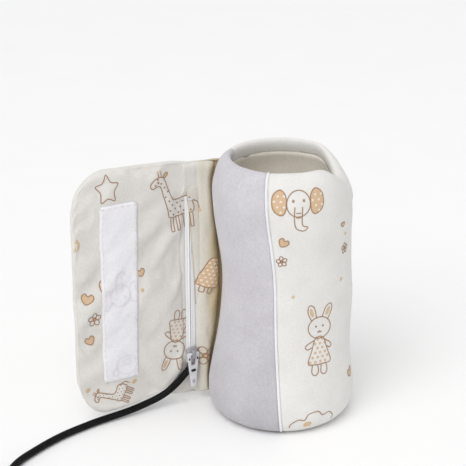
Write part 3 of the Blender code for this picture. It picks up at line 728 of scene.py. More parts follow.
def turned_cloth(name, outline, columns, look, thickness, node_names, lumpy=0.0):
    """Cloth turned about the sleeve's axis, following the sleeve's dip and squeeze."""
    rows, places = [], []
    for r, z in outline:
        row = []
        for j in range(columns):
            angle = 2 * math.pi * j / columns
            share = step(6.0, 14.0, z)
            lump = lumpy * noise.noise(Vector((math.sin(angle) * 2.2, math.cos(angle) * 2.2, z / 14.0)))
            push = (squeeze(angle, z) + lump) * share
            row.append(around(r + push, angle, dipped(angle, z)))
            places.append((angle * 30.0 * MM, (z + 30.0 - r) * MM))
        rows.append(row)
    verts, faces = grid(rows, closed_across=True)
    piece = add_mesh(name, verts, faces, look)
    set_cloth_map(piece, places)
    edit_mesh(piece, lambda form: bmesh.ops.remove_doubles(form, verts=form.verts, dist=1e-6))
    modify(piece, "SOLIDIFY", thickness=thickness * MM, offset=-1.0)
    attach(piece, "sleeve")
    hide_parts(*node_names)
    return piece


def make_lining():
    wall = [(sleeve_radius(z) - LINING_DEPTH, z) for z in spread(128.4, 10.0, 62)]
    floor_edge = [(29.6, 8.0), (28.6, 6.9), (27.0, 6.6)]
    bottom = [(r, 6.5) for r in spread(25.0, 1.0, 12)] + [(0.01, 6.5)]
    lining = turned_cloth("inner_lining", wall + floor_edge + bottom, 120, lining_cloth, 0.5,
                          ["lining", "base_lining"], 0.35)
    base = [(0.01, 0.05)] + [(r, 0.05) for r in spread(2.0, 25.0, 10)]
    base += [(26.2, 0.25), (26.6, 0.7), (26.2, 1.2)]
    turned_cloth("base_cloth", base[::-1], 120, cream_cloth, 0.6, ["base_cover"])


def follow(node, look):
    """An inner layer's CAD mesh, moved with the dip and squeeze of the cloth round it."""
    piece = add_object(node + "_layer", nodes[node].data.copy(), look)
    new_looks(piece, look)
    for vert in piece.data.vertices:
        x, y, z = vert.co / MM
        angle = math.atan2(x, -y)
        r = math.hypot(x, y)
        push = squeeze(angle, z) * step(6.0, 14.0, z)
        vert.co = around(r + push, angle, dipped(angle, z))
    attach(piece, "sleeve")
    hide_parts(node)
    return piece


sleeve_pieces = make_sleeve_cover()
make_lining()
follow("sleeve_wadding", wadding_look)
follow("heating_film", film_look)
follow("heating_wire", wire_look)


# Flap pad


def corner_inset(along, corner):
    wide, high = corner
    into = max(along - (FLAP_LENGTH - wide), 0.0) / wide
    return high * (1.0 - math.sqrt(max(1.0 - into * into, 0.0)))


def flap_top(along):
    rise = (FLAP_TOP[1] - FLAP_TOP[0]) * math.sqrt(max(along, 0.0) / FLAP_LENGTH)
    rise -= 1.1 * step(14.0, 3.0, along)
    return FLAP_TOP[0] + rise - corner_inset(along, TOP_CORNER)


def flap_bottom(along):
    return smooth_through(FLAP_BOTTOM, along) + corner_inset(along, BOTTOM_CORNER)


def pad_stations():
    flat = spread(PAD_START, 46.0, 18)
    quarter = [46.0 + 22.0 * math.sin(math.radians(6.0 * k)) for k in range(1, 16)]
    return flat + quarter


def pad_start(height):
    """Where the pad starts: beside the zip, and above it close to the fold."""
    return PAD_START - 5.6 * step(112.0, 117.0, height)


def pad_half(along, height):
    """Half the pad's thickness: round at its edges, and thin where it is sewn."""
    low, high = flap_bottom(max(along, PAD_START)), flap_top(along)
    edge = min(height - low, high - height, (FLAP_LENGTH - along) * 1.2 + 0.1)
    near = min(max(edge / 4.5, 0.0), 1.0)
    zip_side = min(max((along - pad_start(height)) / 1.6, 0.0), 1.0)
    crown = math.sqrt(max(1.0 - (1.0 - near) ** 2, 0.0))
    side = math.sqrt(max(1.0 - (1.0 - zip_side) ** 2, 0.0))
    return 0.3 + (PAD_HALF - 0.3) * crown * (0.55 + 0.45 * side)


def pad_waves(along, height):
    """The pad's soft lie: slow swells and slanting creases, the same on both faces."""
    slow = noise.noise(Vector((along / 21.0, height / 26.0, 3.0)))
    slant = (along * 0.8 + height * 0.6) / 9.0
    quick = noise.noise(Vector((slant, (height * 0.8 - along * 0.6) / 27.0, 7.0)))
    out, up = along - 23.0, height - 10.5
    run = out * math.cos(CREASE_TURN) + up * math.sin(CREASE_TURN)
    aside = up * math.cos(CREASE_TURN) - out * math.sin(CREASE_TURN)
    fold = 1.1 * bell(aside, 1.5) * step(-2.0, 4.0, run) * step(22.0, 10.0, run)
    return 0.55 * slow + 0.78 * quick - fold


def make_pad_mesh():
    """The pad as one closed form: a front and a back face that share their outline."""
    stations = pad_stations()
    turns = [math.pi * k / PAD_LEVELS for k in range(PAD_LEVELS + 1)]
    levels = [0.5 - 0.5 * math.cos(turn) * (1 - 0.12 * math.sin(turn) ** 2) for turn in turns]
    verts, faces, places = [], [], []
    index = {}

    def vert(i, k, side):
        rim = i in (0, len(stations) - 1) or k in (0, PAD_LEVELS)
        key = (i, k, 0 if rim else side)
        if key not in index:
            station = stations[i]
            low, high = flap_bottom(station), flap_top(station)
            height = low + (high - low) * levels[k]
            along = station + (pad_start(height) - PAD_START) * step(20.0, PAD_START, station)
            height += (flap_top(along) - high) * levels[k]
            swell = 0.0 if rim else side * pad_half(along, height)
            across = swell + pad_waves(along, height) * step(PAD_START, PAD_START + 6.0, station)
            index[key] = len(verts)
            verts.append(flap_point(along, across, height))
            places.append((-along * MM, height * MM))
        return index[key]

    for i in range(len(stations) - 1):
        for k in range(PAD_LEVELS):
            front = [vert(i, k, 1), vert(i, k + 1, 1), vert(i + 1, k + 1, 1), vert(i + 1, k, 1)]
            back = [vert(i, k, -1), vert(i + 1, k, -1), vert(i + 1, k + 1, -1), vert(i, k + 1, -1)]
            faces += [front, back]
    pad = add_mesh("flap_pad", verts, faces, flap_cloth)
    set_cloth_map(pad, places)
    return pad


def inflate(piece, pressure, cap, held, slack):
    """Swells a closed cloth form with Blender's cloth, holding the vertices that held() picks."""
    scene = bpy.context.scene
    rest = [vert.co.copy() for vert in piece.data.vertices]
    group = piece.vertex_groups.new(name="held")
    for vert in piece.data.vertices:
        share = held(vert.co)
        if share > 0:
            group.add([vert.index], share, "REPLACE")
    modifier = piece.modifiers.new("cloth", "CLOTH")
    settings = modifier.settings
    settings.vertex_group_mass = "held"
    settings.use_pressure = True
    settings.uniform_pressure_force = pressure
    settings.shrink_min = -slack
    settings.quality = 8
    settings.mass = 0.15
    settings.bending_stiffness = 0.6
    settings.effector_weights.gravity = 0.0
    modifier.point_cache.frame_start = 1
    modifier.point_cache.frame_end = CLOTH_FRAMES
    for number in range(1, CLOTH_FRAMES + 1):
        scene.frame_set(number)
    apply_modifiers(piece)
    scene.frame_set(1)
    for vert, place in zip(piece.data.vertices, rest):
        move = vert.co - place
        if move.length > cap:
            vert.co = place + move * (cap / move.length)
    piece.vertex_groups.clear()


def flap_place(point):
    """The flap's own (along, across, height) of a point, in mm."""
    away = point - FOLD
    return away.dot(ALONG) / MM, away.dot(ACROSS) / MM, point.z / MM


def pad_held(point):
    along, across, height = flap_place(point)
    edge = min(height - flap_bottom(along), flap_top(along) - height, FLAP_LENGTH - along)
    if edge < 0.6 or along < pad_start(height) + 0.6:
        return 1.0
    on_strip = STRIP_SPAN[0] < along < STRIP_SPAN[1] and STRIP_HEIGHTS[0] < height < STRIP_HEIGHTS[1]
    return 0.6 if on_strip and across > 0 else 0.0


def make_pad():
    pad = make_pad_mesh()
    inflate(pad, 4.0, 0.9 * MM, pad_held, 0.04)
    modify(pad, "SUBSURF", levels=1, render_levels=1)
    return pad


def cut_at(piece, along, keep_far, name):
    """A copy of a mesh, cut across at a distance along the flap and closed there."""
    form = bmesh.new()
    form.from_mesh(piece.data)
    plane = flap_point(along, 0.0, 0.0)
    geom = form.verts[:] + form.edges[:] + form.faces[:]
    cut = bmesh.ops.bisect_plane(form, geom=geom, plane_co=plane, plane_no=ALONG, dist=1e-7,
                                 clear_inner=keep_far, clear_outer=not keep_far)
    edges = [e for e in cut["geom_cut"] if isinstance(e, bmesh.types.BMEdge)]
    bmesh.ops.contextual_create(form, geom=edges)
    return from_form(name, form, list(piece.data.materials))


def copy_normals(piece, source):
    """Gives a cut piece the whole mesh's normals, so that the cut doesn't show."""
    tree = BVHTree.FromPolygons([v.co for v in source.data.vertices],
                                [p.vertices[:] for p in source.data.polygons])
    normals = [None] * len(piece.data.loops)
    for polygon in piece.data.polygons:
        for loop_index in polygon.loop_indices:
            vert = piece.data.vertices[piece.data.loops[loop_index].vertex_index]
            if len(polygon.vertices) > 4:
                normals[loop_index] = polygon.normal
                continue
            spot, _normal, face, _gap = tree.find_nearest(vert.co)
            corners = source.data.polygons[face].vertices
            points = [source.data.vertices[n].co for n in corners]
            shares = weights_in(points, spot)
            total = Vector()
            for share, corner in zip(shares, corners):
                total += source.data.vertices[corner].normal * share
            normals[loop_index] = total.normalized()
    piece.data.normals_split_custom_set(normals)


def weights_in(points, spot):
    """How much of each corner's value holds at a spot, by nearness."""
    gaps = [max((point - spot).length, 1e-9) for point in points]
    return [1.0 / gap**2 for gap in gaps]


def bend_between(piece):
    """Bakes a piece's transform into its mesh."""
    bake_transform(piece)


def bend_near(piece):
    bend_between(piece)


def bend_far(piece):
    bend_between(piece)


def finish_pad(pad):
    """Cuts the pad in two between the two soft lines, gives each part the whole pad's normals, bakes its
    transform, and hides the CAD flap's layers.
    """
    near = cut_at(pad, PAD_SPLIT, False, "flap_pad_near")
    far = cut_at(pad, PAD_SPLIT, True, "flap_pad_far")
    for piece in (near, far):
        copy_normals(piece, pad)
    bend_near(near)
    bend_far(far)
    kinds = ("outer_cover", "wadding", "inner_cover")
    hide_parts(*[f"flap_{kind}_{n}" for kind in kinds for n in (1, 2)])
    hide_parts(*[f"flap_{kind}_3" for kind in kinds])


flap_pad = make_pad()


# Fold cloth


def left_end(height):
    """Where the fold cloth ends under the pad: further out below the zip, as the pocket's lip."""
    low_corner = 5.0 * (1.0 - math.sqrt(1.0 - (max(9.0 - height, 0.0) / 5.6) ** 2)) if height < 9.0 else 0.0
    return 12.0 + 5.0 * step(30.0, 20.0, height) - low_corner - 4.0 * step(112.0, 118.0, height)


def front_profile(height):
    """The fold cloth's front face as (along, across): under the zip, then the bulge beside it."""
    flush = step(112.5, 116.0, height)
    mouth = step(24.0, 20.0, height)
    seat = 1.3 + 1.25 * flush - 2.1 * mouth
    crest = 1.0 - 0.45 * step(95.0, 122.0, height) - 0.25 * step(30.0, 8.0, height)
    end = left_end(height)
    return [
        (end, seat - 0.9 - 0.5 * flush), (0.5 * (end + 8.6), seat - 0.2), (8.6, seat),
        (7.4, seat), (6.2, seat - 0.05), (5.2, seat - 0.1), (4.2, seat - 0.05), (3.2, seat),
        (2.3, seat + 0.1), (1.8, seat + 0.7 * (1 - flush)), (1.3, seat + 1.7 * crest * (1 - flush)),
        (0.6, 1.5 + 2.4 * crest), (-0.5, 1.4 + 3.9 * crest), (-1.8, 1.3 + 4.6 * crest),
    ]


def roll_flank(top, height):
    """The bulge's far side: on towards the sleeve, then back along it, leaving a narrow crevice."""
    reach = side_radius(height)
    x, y = top.x / MM, top.y / MM
    turns = [(x, y), (max(-reach - 1.9, x + 0.8), y - 0.15), (max(-reach - 0.2, x + 1.2), y + 0.7),
             (max(-reach - 0.5, x + 1.0), max(y + 4.6, 9.4))]
    points = []
    for k in range(1, 9):
        t = k / 8
        shares = ((1 - t) ** 3, 3 * t * (1 - t) ** 2, 3 * t * t * (1 - t), t**3)
        tuck = 1.5 * bell(height - 56.0 - 16.0 * t, 4.0) + 1.1 * bell(height - 40.0 + 10.0 * t, 3.4)
        tuck += 0.8 * bell(height - 92.0 - 10.0 * t, 4.5)
        points.append(Vector((sum(w * p[0] for w, p in zip(shares, turns)) * MM,
                              (sum(w * p[1] for w, p in zip(shares, turns))
                               + tuck * (1.0 - t) ** 0.5) * MM, height * MM)))
    return points


def back_across(along):
    """The fold cloth's back face: flat behind the flap, then along the web to the sleeve."""
    if along > 8.0:
        return -2.75 + 0.55 * step(8.0, 12.0, along)
    if along > 1.0:
        return -2.75
    return -2.75 - 0.25 * (along - 1.0)


def kept_out(point, height):
    """Moves a point that lies deep in the sleeve out to just under the sleeve's cloth."""
    flat = Vector((point.x, point.y)) / MM
    least = side_radius(height) - 1.6
    if flat.length < least:
        flat *= least / flat.length
    return Vector((flat.x * MM, flat.y * MM, point.z))


def fold_row(height, squash):
    """One closed loop of the fold cloth at a height. Squash draws its faces together."""
    front = front_profile(height)
    loop_front, loop_back = [], []
    for along, across in front:
        back = back_across(along)
        ripple = 0.28 * noise.noise(Vector((along / 5.0, height / 13.0, 21.0)))
        ripple *= step(1.0, -3.0, along)
        middle = (across + back) / 2
        half = (across - back) / 2 * squash
        loop_front.append(flap_point(along, middle + half + ripple, height))
        loop_back.append(flap_point(along, middle - half, height))
    flank = roll_flank(loop_front[-1], height)
    for number, point in enumerate(flank):
        along = -1.8 - 0.95 * (number + 1)
        behind = flap_point(along, back_across(along), height)
        drawn = 0.5 * (1.0 - squash)
        loop_front.append(point.lerp(behind, drawn))
        loop_back.append(behind.lerp(point, drawn))
    far = math.radians(180.0 - 17.0), math.radians(180.0 - 23.0)
    reach = side_radius(height)
    for radius in (reach + 0.4, reach - 1.4):
        loop_front.append(Vector((radius * math.cos(far[0]), radius * math.sin(far[0]), height)) * MM)
        loop_back.append(Vector((radius * math.cos(far[1]), radius * math.sin(far[1]), height)) * MM)
    points = loop_front + list(reversed(loop_back))
    return [kept_out(point, height) for point in points]


def make_fold():
    heights = [3.6, 3.9, 4.6] + spread(5.6, 126.5, 60) + [127.6, 128.6, 129.3, 129.7]
    squashes = {3.6: 0.25, 3.9: 0.6, 4.6: 0.85, 127.6: 0.95, 128.6: 0.8, 129.3: 0.55, 129.7: 0.3}
    rows = [fold_row(z, squashes.get(z, 1.0)) for z in heights]
    verts, faces = grid(rows, closed_across=True)
    size = len(rows[0])
    faces.append(tuple(range(size)))
    faces.append(tuple((len(rows) - 1) * size + j for j in reversed(range(size))))
    fold = add_mesh("fold_cloth", verts, faces, fold_look)
    edit_mesh(fold, lambda form: bmesh.ops.recalc_face_normals(form, faces=form.faces))
    set_cloth_map(fold, [(-flap_place(v.co)[0] * MM, v.co.z) for v in fold.data.vertices])
    modify(fold, "SUBSURF", levels=1, render_levels=1)
    # Painted shade: the nearer a point of the bulge lies to the sleeve, the deeper it is tinted towards
    # brown, unevenly up the height, with a little over the whole bulge and none under the zip.
    crevice_shades = []
    for vert in fold.data.vertices:
        along, _across, height = flap_place(vert.co)
        reach = side_radius(height)
        uneven = 0.2 * noise.noise(Vector((height / 16.0, 3.0, 8.0)))
        gap = max(math.hypot(vert.co.x, vert.co.y) / MM - reach, 0.0) * (1.0 + 0.25 * (reach - 31.0))
        deep = max(1.0 - gap / (8.0 + 3.0 * bell(height - 60.0, 28.0)), 0.0)
        deep = max(min(deep * (1.0 + uneven), 1.0), 0.27)
        crevice_shades.append(deep * step(2.4, -0.6, along))
    set_painted_crevice_shade(fold, crevice_shades)
    return fold


def blend_fold(piece):
    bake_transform(piece)


fold_cloth = make_fold()


# Print. Each motif is drawn in mm in its own plane, x to the right and y up.


STROKE, FILL, DOT, SPOT = 1, 0, 2, 3
LAYER_LIFT = {FILL: 0.05, DOT: 0.08, SPOT: 0.08, STROKE: 0.11}
LINE = 0.5
LOOK_FROM = 14.0
LOOK_REACH = 22.0
LOOK_RADIUS = 60.0
RIM_INSIDE = 30.2
STEEPEST = 0.55


def oval(x, y, wide, high, tilt=0.0, count=30, start=0.0, end=360.0):
    """Points on an ellipse, or on a part of one."""
    turn = math.radians(tilt)
    points = []
    closed = end - start >= 360.0
    for k in range(count if closed else count + 1):
        a = math.radians(start + (end - start) * k / count)
        u, v = wide * math.cos(a), high * math.sin(a)
        points.append((x + u * math.cos(turn) - v * math.sin(turn),
                       y + u * math.sin(turn) + v * math.cos(turn)))
    return points


def curved(points, closed=False, fine=8):
    """A smooth curve through a few points."""
    ring = points if closed else [points[0]] + points + [points[-1]]
    count = len(points) if closed else len(points) - 1
    made = []
    for i in range(count):
        size = len(ring)
        a, b, c, d = [Vector(ring[(i + n - (1 if closed else 0)) % size]) for n in range(4)]
        made += [tuple(on_curve(a, b, c, d, k / fine)) for k in range(fine)]
    if not closed:
        made.append(tuple(points[-1]))
    return made


def dots_in(outline, gap, size, first=(0.0, 0.0)):
    """Rows of dots that lie inside an outline."""
    xs = [p[0] for p in outline]
    ys = [p[1] for p in outline]
    made = []
    row = 0
    y = min(ys) + gap * 0.5 + first[1]
    while y < max(ys):
        x = min(xs) + gap * (0.35 + 0.5 * (row % 2)) + first[0]
        while x < max(xs):
            if is_inside((x, y), outline, size * 0.8):
                made.append((DOT, oval(x, y, size, size, 0.0, 10), True))
            x += gap
        y += gap * 0.8
        row += 1
    return made


def spots_in(outline, gap, size, kind):
    """Tan or brown spots on the bare cloth inside an outline."""
    return [(kind, points, True) for _kind, points, _closed in dots_in(outline, gap, size)]


def is_inside(point, outline, margin):
    x, y = point
    inside = False
    for (x0, y0), (x1, y1) in zip(outline, outline[1:] + outline[:1]):
        if (y0 > y) != (y1 > y) and x < (x1 - x0) * (y - y0) / (y1 - y0) + x0:
            inside = not inside
        if math.hypot(x - x0, y - y0) < margin:
            return False
    return inside


def filled(outline, edge=True):
    made = [(FILL, outline, True)]
    if edge:
        made.append((STROKE, outline, True))
    return made


def closed_stroke(points):
    return STROKE, points, True


def open_stroke(points):
    return STROKE, points, False


def bunny():
    """A standing rabbit with long ears, in a dotted dress."""
    head = oval(0.0, 8.6, 6.6, 5.6, -6.0)
    ears = [curved([(-4.6, 12.2), (-7.0, 17.0), (-6.4, 20.6), (-3.6, 19.4), (-1.9, 13.6)]),
            curved([(1.2, 13.8), (3.4, 18.9), (6.4, 20.2), (7.0, 17.2), (4.6, 12.0)])]
    made = [closed_stroke(head)] + [open_stroke(ear) for ear in ears]
    made += [(FILL, oval(-4.9, 16.8, 1.0, 2.5, 22.0, 16), True)]
    made += [(FILL, oval(4.7, 16.7, 1.0, 2.4, -26.0, 16), True)]
    made += [closed_stroke(oval(-2.2, 9.4, 0.3, 0.35, 0.0, 8))]
    made += [closed_stroke(oval(2.0, 9.3, 0.3, 0.35, 0.0, 8))]
    made += [open_stroke(curved([(-1.3, 6.6), (-0.6, 6.1), (-0.1, 6.9), (0.5, 6.1), (1.2, 6.6)]))]
    dress = curved([(-2.2, 3.2), (2.2, 3.2), (4.6, -3.0), (6.6, -9.6), (2.0, -10.4), (-3.0, -10.3),
                    (-6.4, -9.4), (-4.4, -3.0)], True, 5)
    made += [closed_stroke(dress)] + spots_in(dress, 2.9, 0.78, FILL)
    made += [open_stroke(curved([(-2.6, 2.4), (-6.6, 0.6), (-8.0, -0.9), (-6.6, -2.2), (-4.2, -1.2)]))]
    made += [open_stroke(curved([(2.6, 2.2), (6.2, 0.0), (7.4, -1.8), (6.0, -2.9), (4.2, -1.6)]))]
    for x in (-2.6, 2.4):
        made.append(open_stroke(curved([(x - 1.5, -10.2), (x - 1.9, -14.2), (x - 0.2, -15.8),
                                     (x + 1.7, -14.2), (x + 1.3, -10.3)])))
    return made


def elephant():
    """An elephant's face, with two dotted ears and a trunk that hangs between them."""
    made = [closed_stroke(oval(0.0, 2.0, 5.6, 6.2))]
    for side in (-1, 1):
        ear = curved([(6.0 * side, 5.6), (8.8 * side, 8.4), (12.2 * side, 5.6), (11.8 * side, -0.6),
                      (8.2 * side, -3.4), (6.0 * side, -1.0)], True)
        made += filled(ear) + dots_in(ear, 3.1, 0.6)
        made.append(closed_stroke(oval(2.5 * side, 3.4, 0.4, 0.5, 0.0, 8)))
    trunk = curved([(-1.8, 0.6), (-2.0, -5.4), (-1.0, -9.8), (2.4, -11.4), (4.4, -9.6), (1.8, -8.0),
                    (1.8, 0.6)])
    made.append(open_stroke(trunk))
    for y in (-2.4, -4.6):
        made.append(open_stroke([(-1.1, y), (1.1, y)]))
    return made


def giraffe():
    """A giraffe that stands sideways on four legs, with an upright spotted neck."""
    body = curved([(-6.0, -1.0), (-7.4, 7.0), (-8.8, 12.2), (-13.0, 11.8), (-13.4, 14.4), (-9.6, 16.6),
                   (-6.0, 15.6), (-4.0, 8.6), (-1.6, 2.8), (5.6, 2.6), (8.2, -1.2), (7.6, -5.6),
                   (0.8, -6.2), (-5.2, -5.6)], True, 6)
    made = [closed_stroke(body)] + spots_in(body, 3.2, 0.5, SPOT)
    for x in (-4.0, -0.8, 3.6, 6.6):
        made.append(open_stroke([(x - 0.8, -6.4), (x - 0.7, -13.6), (x + 0.7, -13.6), (x + 0.8, -6.4)]))
    for x in (-8.8, -7.2):
        made.append(open_stroke([(x, 16.8), (x, 18.8)]))
        made += filled(oval(x, 19.4, 0.6, 0.6, 0.0, 12), False)
    made += filled(oval(-4.6, 16.6, 1.7, 0.8, 25.0, 14))
    made.append(closed_stroke(oval(-9.4, 14.2, 0.4, 0.45, 0.0, 8)))
    made.append(open_stroke(curved([(8.2, 0.2), (10.6, -1.6), (11.0, -4.8)])))
    return made + filled(oval(11.0, -6.0, 0.7, 1.2, 0.0, 12), False)


def star():
    points = []
    for k in range(10):
        angle = math.radians(90.0 + 36.0 * k)
        radius = 6.9 if k % 2 == 0 else 4.0
        points.append((0.86 * radius * math.cos(angle), 1.12 * radius * math.sin(angle)))
    return [closed_stroke(curved(points, True, 4))]


def bear():
    """A bear's face."""
    made = [closed_stroke(oval(0.0, 0.0, 7.6, 6.6)), closed_stroke(oval(0.0, -2.2, 2.9, 2.1))]
    made += filled(oval(0.0, -1.2, 1.0, 0.7, 0.0, 14), False)
    for side in (-1, 1):
        made += filled(oval(6.4 * side, 6.3, 1.4, 1.3, 0.0, 16), False)
        made += [open_stroke(curved([(3.6 * side, 6.0), (4.4 * side, 8.8), (7.4 * side, 8.8),
                                  (8.6 * side, 6.2), (7.0 * side, 3.2)]))]
        made += [(SPOT, oval(2.9 * side, 1.5, 0.6, 0.7, 0.0, 10), True)]
    return made


def heart(size=1.0):
    points = [(0.0, -2.6), (-2.3, -0.6), (-2.7, 1.2), (-1.4, 2.3), (0.0, 1.2), (1.4, 2.3),
              (2.7, 1.2), (2.3, -0.6)]
    return filled(curved([(x * size, y * size) for x, y in points], True, 5))


def flower():
    made = []
    for k in range(5):
        angle = math.radians(72.0 * k + 18.0)
        made += [closed_stroke(oval(2.6 * math.cos(angle), 2.6 * math.sin(angle), 1.9, 1.5,
                               math.degrees(angle), 14))]
    return made + filled(oval(0.0, 0.0, 1.2, 1.2, 0.0, 14))


def cloud():
    shape = curved([(-11.0, -3.0), (-12.0, 1.2), (-8.0, 4.0), (-4.6, 3.2), (-2.2, 6.2), (2.8, 6.4),
                    (5.2, 3.4), (9.2, 3.8), (11.6, 0.4), (10.2, -3.2), (4.0, -4.4), (-4.0, -4.2)],
                   True)
    return [closed_stroke(shape)] + filled(oval(-3.0, 0.0, 2.2, 1.8, 0.0, 16), False)


def dress():
    """A dotted dress on two short legs."""
    shape = curved([(-2.0, 8.6), (2.2, 8.8), (4.0, 2.8), (5.0, -4.8), (1.0, -6.2), (-3.0, -5.8),
                    (-5.2, -4.4), (-3.8, 2.8)], True, 5)
    made = filled(shape) + dots_in(shape, 2.4, 0.5)
    for x in (-1.9, 1.7):
        made.append(open_stroke(curved([(x - 0.9, -5.8), (x - 1.0, -8.8), (x + 0.9, -8.8),
                                     (x + 0.8, -6.0)])))
    return made


def blot():
    return filled(oval(0.0, 0.0, 1.6, 1.2, 20.0, 14), False)


def place_motif(parts, x, y, size=1.0, turn=0.0, mirror=False):
    """A motif's parts, scaled, turned and moved to a place on the cloth."""
    cos, sin = math.cos(math.radians(turn)) * size, math.sin(math.radians(turn)) * size
    flip = -1.0 if mirror else 1.0
    placed = []
    for kind, points, closed in parts:
        moved = [(x + u * flip * cos - v * sin, y + u * flip * sin + v * cos) for u, v in points]
        placed.append((kind, moved, closed))
    return placed


def resampled(points, closed, spacing):
    """A polyline's points, no further apart than the spacing."""
    ring = points + points[:1] if closed else points
    made = []
    for (x0, y0), (x1, y1) in zip(ring, ring[1:]):
        count = max(1, math.ceil(math.hypot(x1 - x0, y1 - y0) / spacing))
        made += [(x0 + (x1 - x0) * k / count, y0 + (y1 - y0) * k / count) for k in range(count)]
    if not closed:
        made.append(ring[-1])
    return made


def draw_stroke(form, points, closed):
    """A ribbon of the line's width along a polyline."""
    line = resampled(points, closed, 0.9)
    count = len(line)
    pairs = []
    for i, (x, y) in enumerate(line):
        before = line[(i - 1) % count] if closed else line[max(i - 1, 0)]
        after = line[(i + 1) % count] if closed else line[min(i + 1, count - 1)]
        way = Vector((after[0] - before[0], after[1] - before[1]))
        side = Vector((-way.y, way.x)).normalized() * (LINE / 2)
        lift = LAYER_LIFT[STROKE]
        pairs.append([form.verts.new((x + k * side.x, y + k * side.y, lift)) for k in (1, -1)])
    for i in range(count if closed else count - 1):
        (a, b), (c, d) = pairs[i], pairs[(i + 1) % count]
        form.faces.new((a, b, d, c)).material_index = STROKE


def draw_patch(form, points, kind):
    """A filled shape, cut into pieces small enough to follow the cloth."""
    patch = bmesh.new()
    verts = [patch.verts.new((x, y, LAYER_LIFT[kind])) for x, y in points]
    edges = [patch.edges.new((verts[i], verts[(i + 1) % len(verts)])) for i in range(len(verts))]
    bmesh.ops.triangle_fill(patch, edges=edges, use_beauty=True)
    for _round in range(4):
        long_edges = [e for e in patch.edges if e.calc_length() > 1.8]
        if not long_edges:
            break
        bmesh.ops.subdivide_edges(patch, edges=long_edges, cuts=1)
        bmesh.ops.triangulate(patch, faces=patch.faces[:])
    table = {vert: form.verts.new(vert.co) for vert in patch.verts}
    for face in patch.faces:
        form.faces.new([table[vert] for vert in face.verts]).material_index = kind
    patch.free()


def draw(parts):
    form = bmesh.new()
    for kind, points, closed in parts:
        if kind == STROKE:
            draw_stroke(form, points, closed)
        else:
            draw_patch(form, points, kind)
    return form


def draw_all(motifs):
    return draw([part for motif in motifs for part in place_motif(*motif)])


def keep_between(form, low, high):
    """Cuts a flat drawing to the part of the cloth between two places along it."""
    for place, keep_above in ((low, True), (high, False)):
        geom = form.verts[:] + form.edges[:] + form.faces[:]
        bmesh.ops.bisect_plane(form, geom=geom, plane_co=(place, 0, 0), plane_no=(1, 0, 0),
                               dist=1e-6, clear_inner=keep_above, clear_outer=not keep_above)


def lay_on(form, hits, name, inks):
    """Moves a flat drawing on to the cloth: hits gives the cloth's point and normal at a place."""
    lost = []
    for vert in form.verts:
        found = hits(vert.co.x, vert.co.y)
        if found is None:
            lost.append(vert)
            continue
        spot, normal = found
        vert.co = spot + normal * vert.co.z * MM
    bmesh.ops.delete(form, geom=lost, context="VERTS")
    if not form.verts:
        form.free()
        return None
    bmesh.ops.recalc_face_normals(form, faces=form.faces)
    return from_form(name, form, inks)


def cloth_tree(pieces):
    verts, faces = [], []
    for piece in pieces:
        base = len(verts)
        verts += [v.co.copy() for v in piece.data.vertices]
        faces += [tuple(base + n for n in p.vertices) for p in piece.data.polygons]
    return BVHTree.FromPolygons(verts, faces)


def flap_hits(tree, side):
    """Looks on to the flap's inner (+1) or outer (-1) face. Places run to the right as seen."""
    def hits(x, y):
        start = flap_point(-x * side, LOOK_FROM * side, y)
        spot, normal, _face, gap = tree.ray_cast(start, -ACROSS * side)
        if spot is None or gap > LOOK_REACH * MM:
            return None
        if normal.dot(ACROSS) * side < 0:
            normal = -normal
        return spot, normal
    return hits


def sleeve_hits(tree):
    """Looks in at the sleeve's side, and leaves out the rim's top and its inside."""
    def hits(x, y):
        angle = x / PRINT_RADIUS
        height = dipped(angle, y)
        start = around(LOOK_RADIUS, angle, height)
        spot, normal, _face, _gap = tree.ray_cast(start, -around(1.0, angle, 0.0).normalized())
        if spot is None or abs(normal.z) > STEEPEST or math.hypot(spot.x, spot.y) < RIM_INSIDE * MM:
            return None
        outward = around(1.0, angle, 0.0)
        return spot, normal if normal.dot(outward) > 0 else -normal
    return hits


PRINT_INKS = [tan_ink, brown_ink, pale_ink, brown_ink]
INNER_MOTIFS = [
    (giraffe(), -12.0, 110.0, 1.0, 6.0), (star(), -49.6, 124.0, 1.0, 4.0),
    (elephant(), -44.5, 74.0, 0.82, 14.0, True), (blot(), -67.0, 98.5, 2.2, 80.0),
    (heart(0.8), -33.2, 78.0, 1.0, 16.0), (blot(), -32.4, 68.5, 0.7, 70.0),
    (heart(1.1), -61.8, 69.5, 1.0, -18.0), (flower(), -58.4, 58.0, 0.8, 0.0),
    (heart(0.9), -61.0, 47.0, 1.0, 22.0), (giraffe(), -47.5, 15.5, 0.62, 58.0),
    (blot(), -37.6, 19.0, 1.0, 30.0), (bunny(), -13.2, 38.5, 0.9, 170.0),
    (dress(), 3.8, 70.0, 1.05, -14.0), (flower(), 1.4, 25.5, 1.15, 20.0),
    (blot(), -63.0, 20.0, 0.9, 30.0),
]
OUTER_MOTIFS = [
    (bunny(), 50.0, 96.0, 0.9, 8.0), (elephant(), 26.0, 104.0, 0.8, -8.0),
    (star(), 38.0, 122.0, 0.8, 12.0),
    (bear(), 43.0, 62.0, 1.1, -6.0), (heart(1.1), 12.0, 78.0, 1.0, 16.0),
    (flower(), 59.0, 66.0, 0.9, 0.0), (cloud(), 22.0, 38.0, 0.8, 6.0), (dress(), 52.0, 32.0, 1.0, 10.0),
    (heart(1.0), 38.0, 20.0, 1.0, -20.0), (star(), 10.0, 50.0, 0.7, 30.0), (blot(), 30.0, 80.0, 0.9, 0.0),
    (blot(), 60.0, 112.0, 0.9, 40.0), (flower(), 14.0, 120.0, 0.9, 15.0), (heart(0.9), 4.0, 100.0, 1.0, 0.0),
    (blot(), 6.0, 26.0, 1.0, 0.0),
]
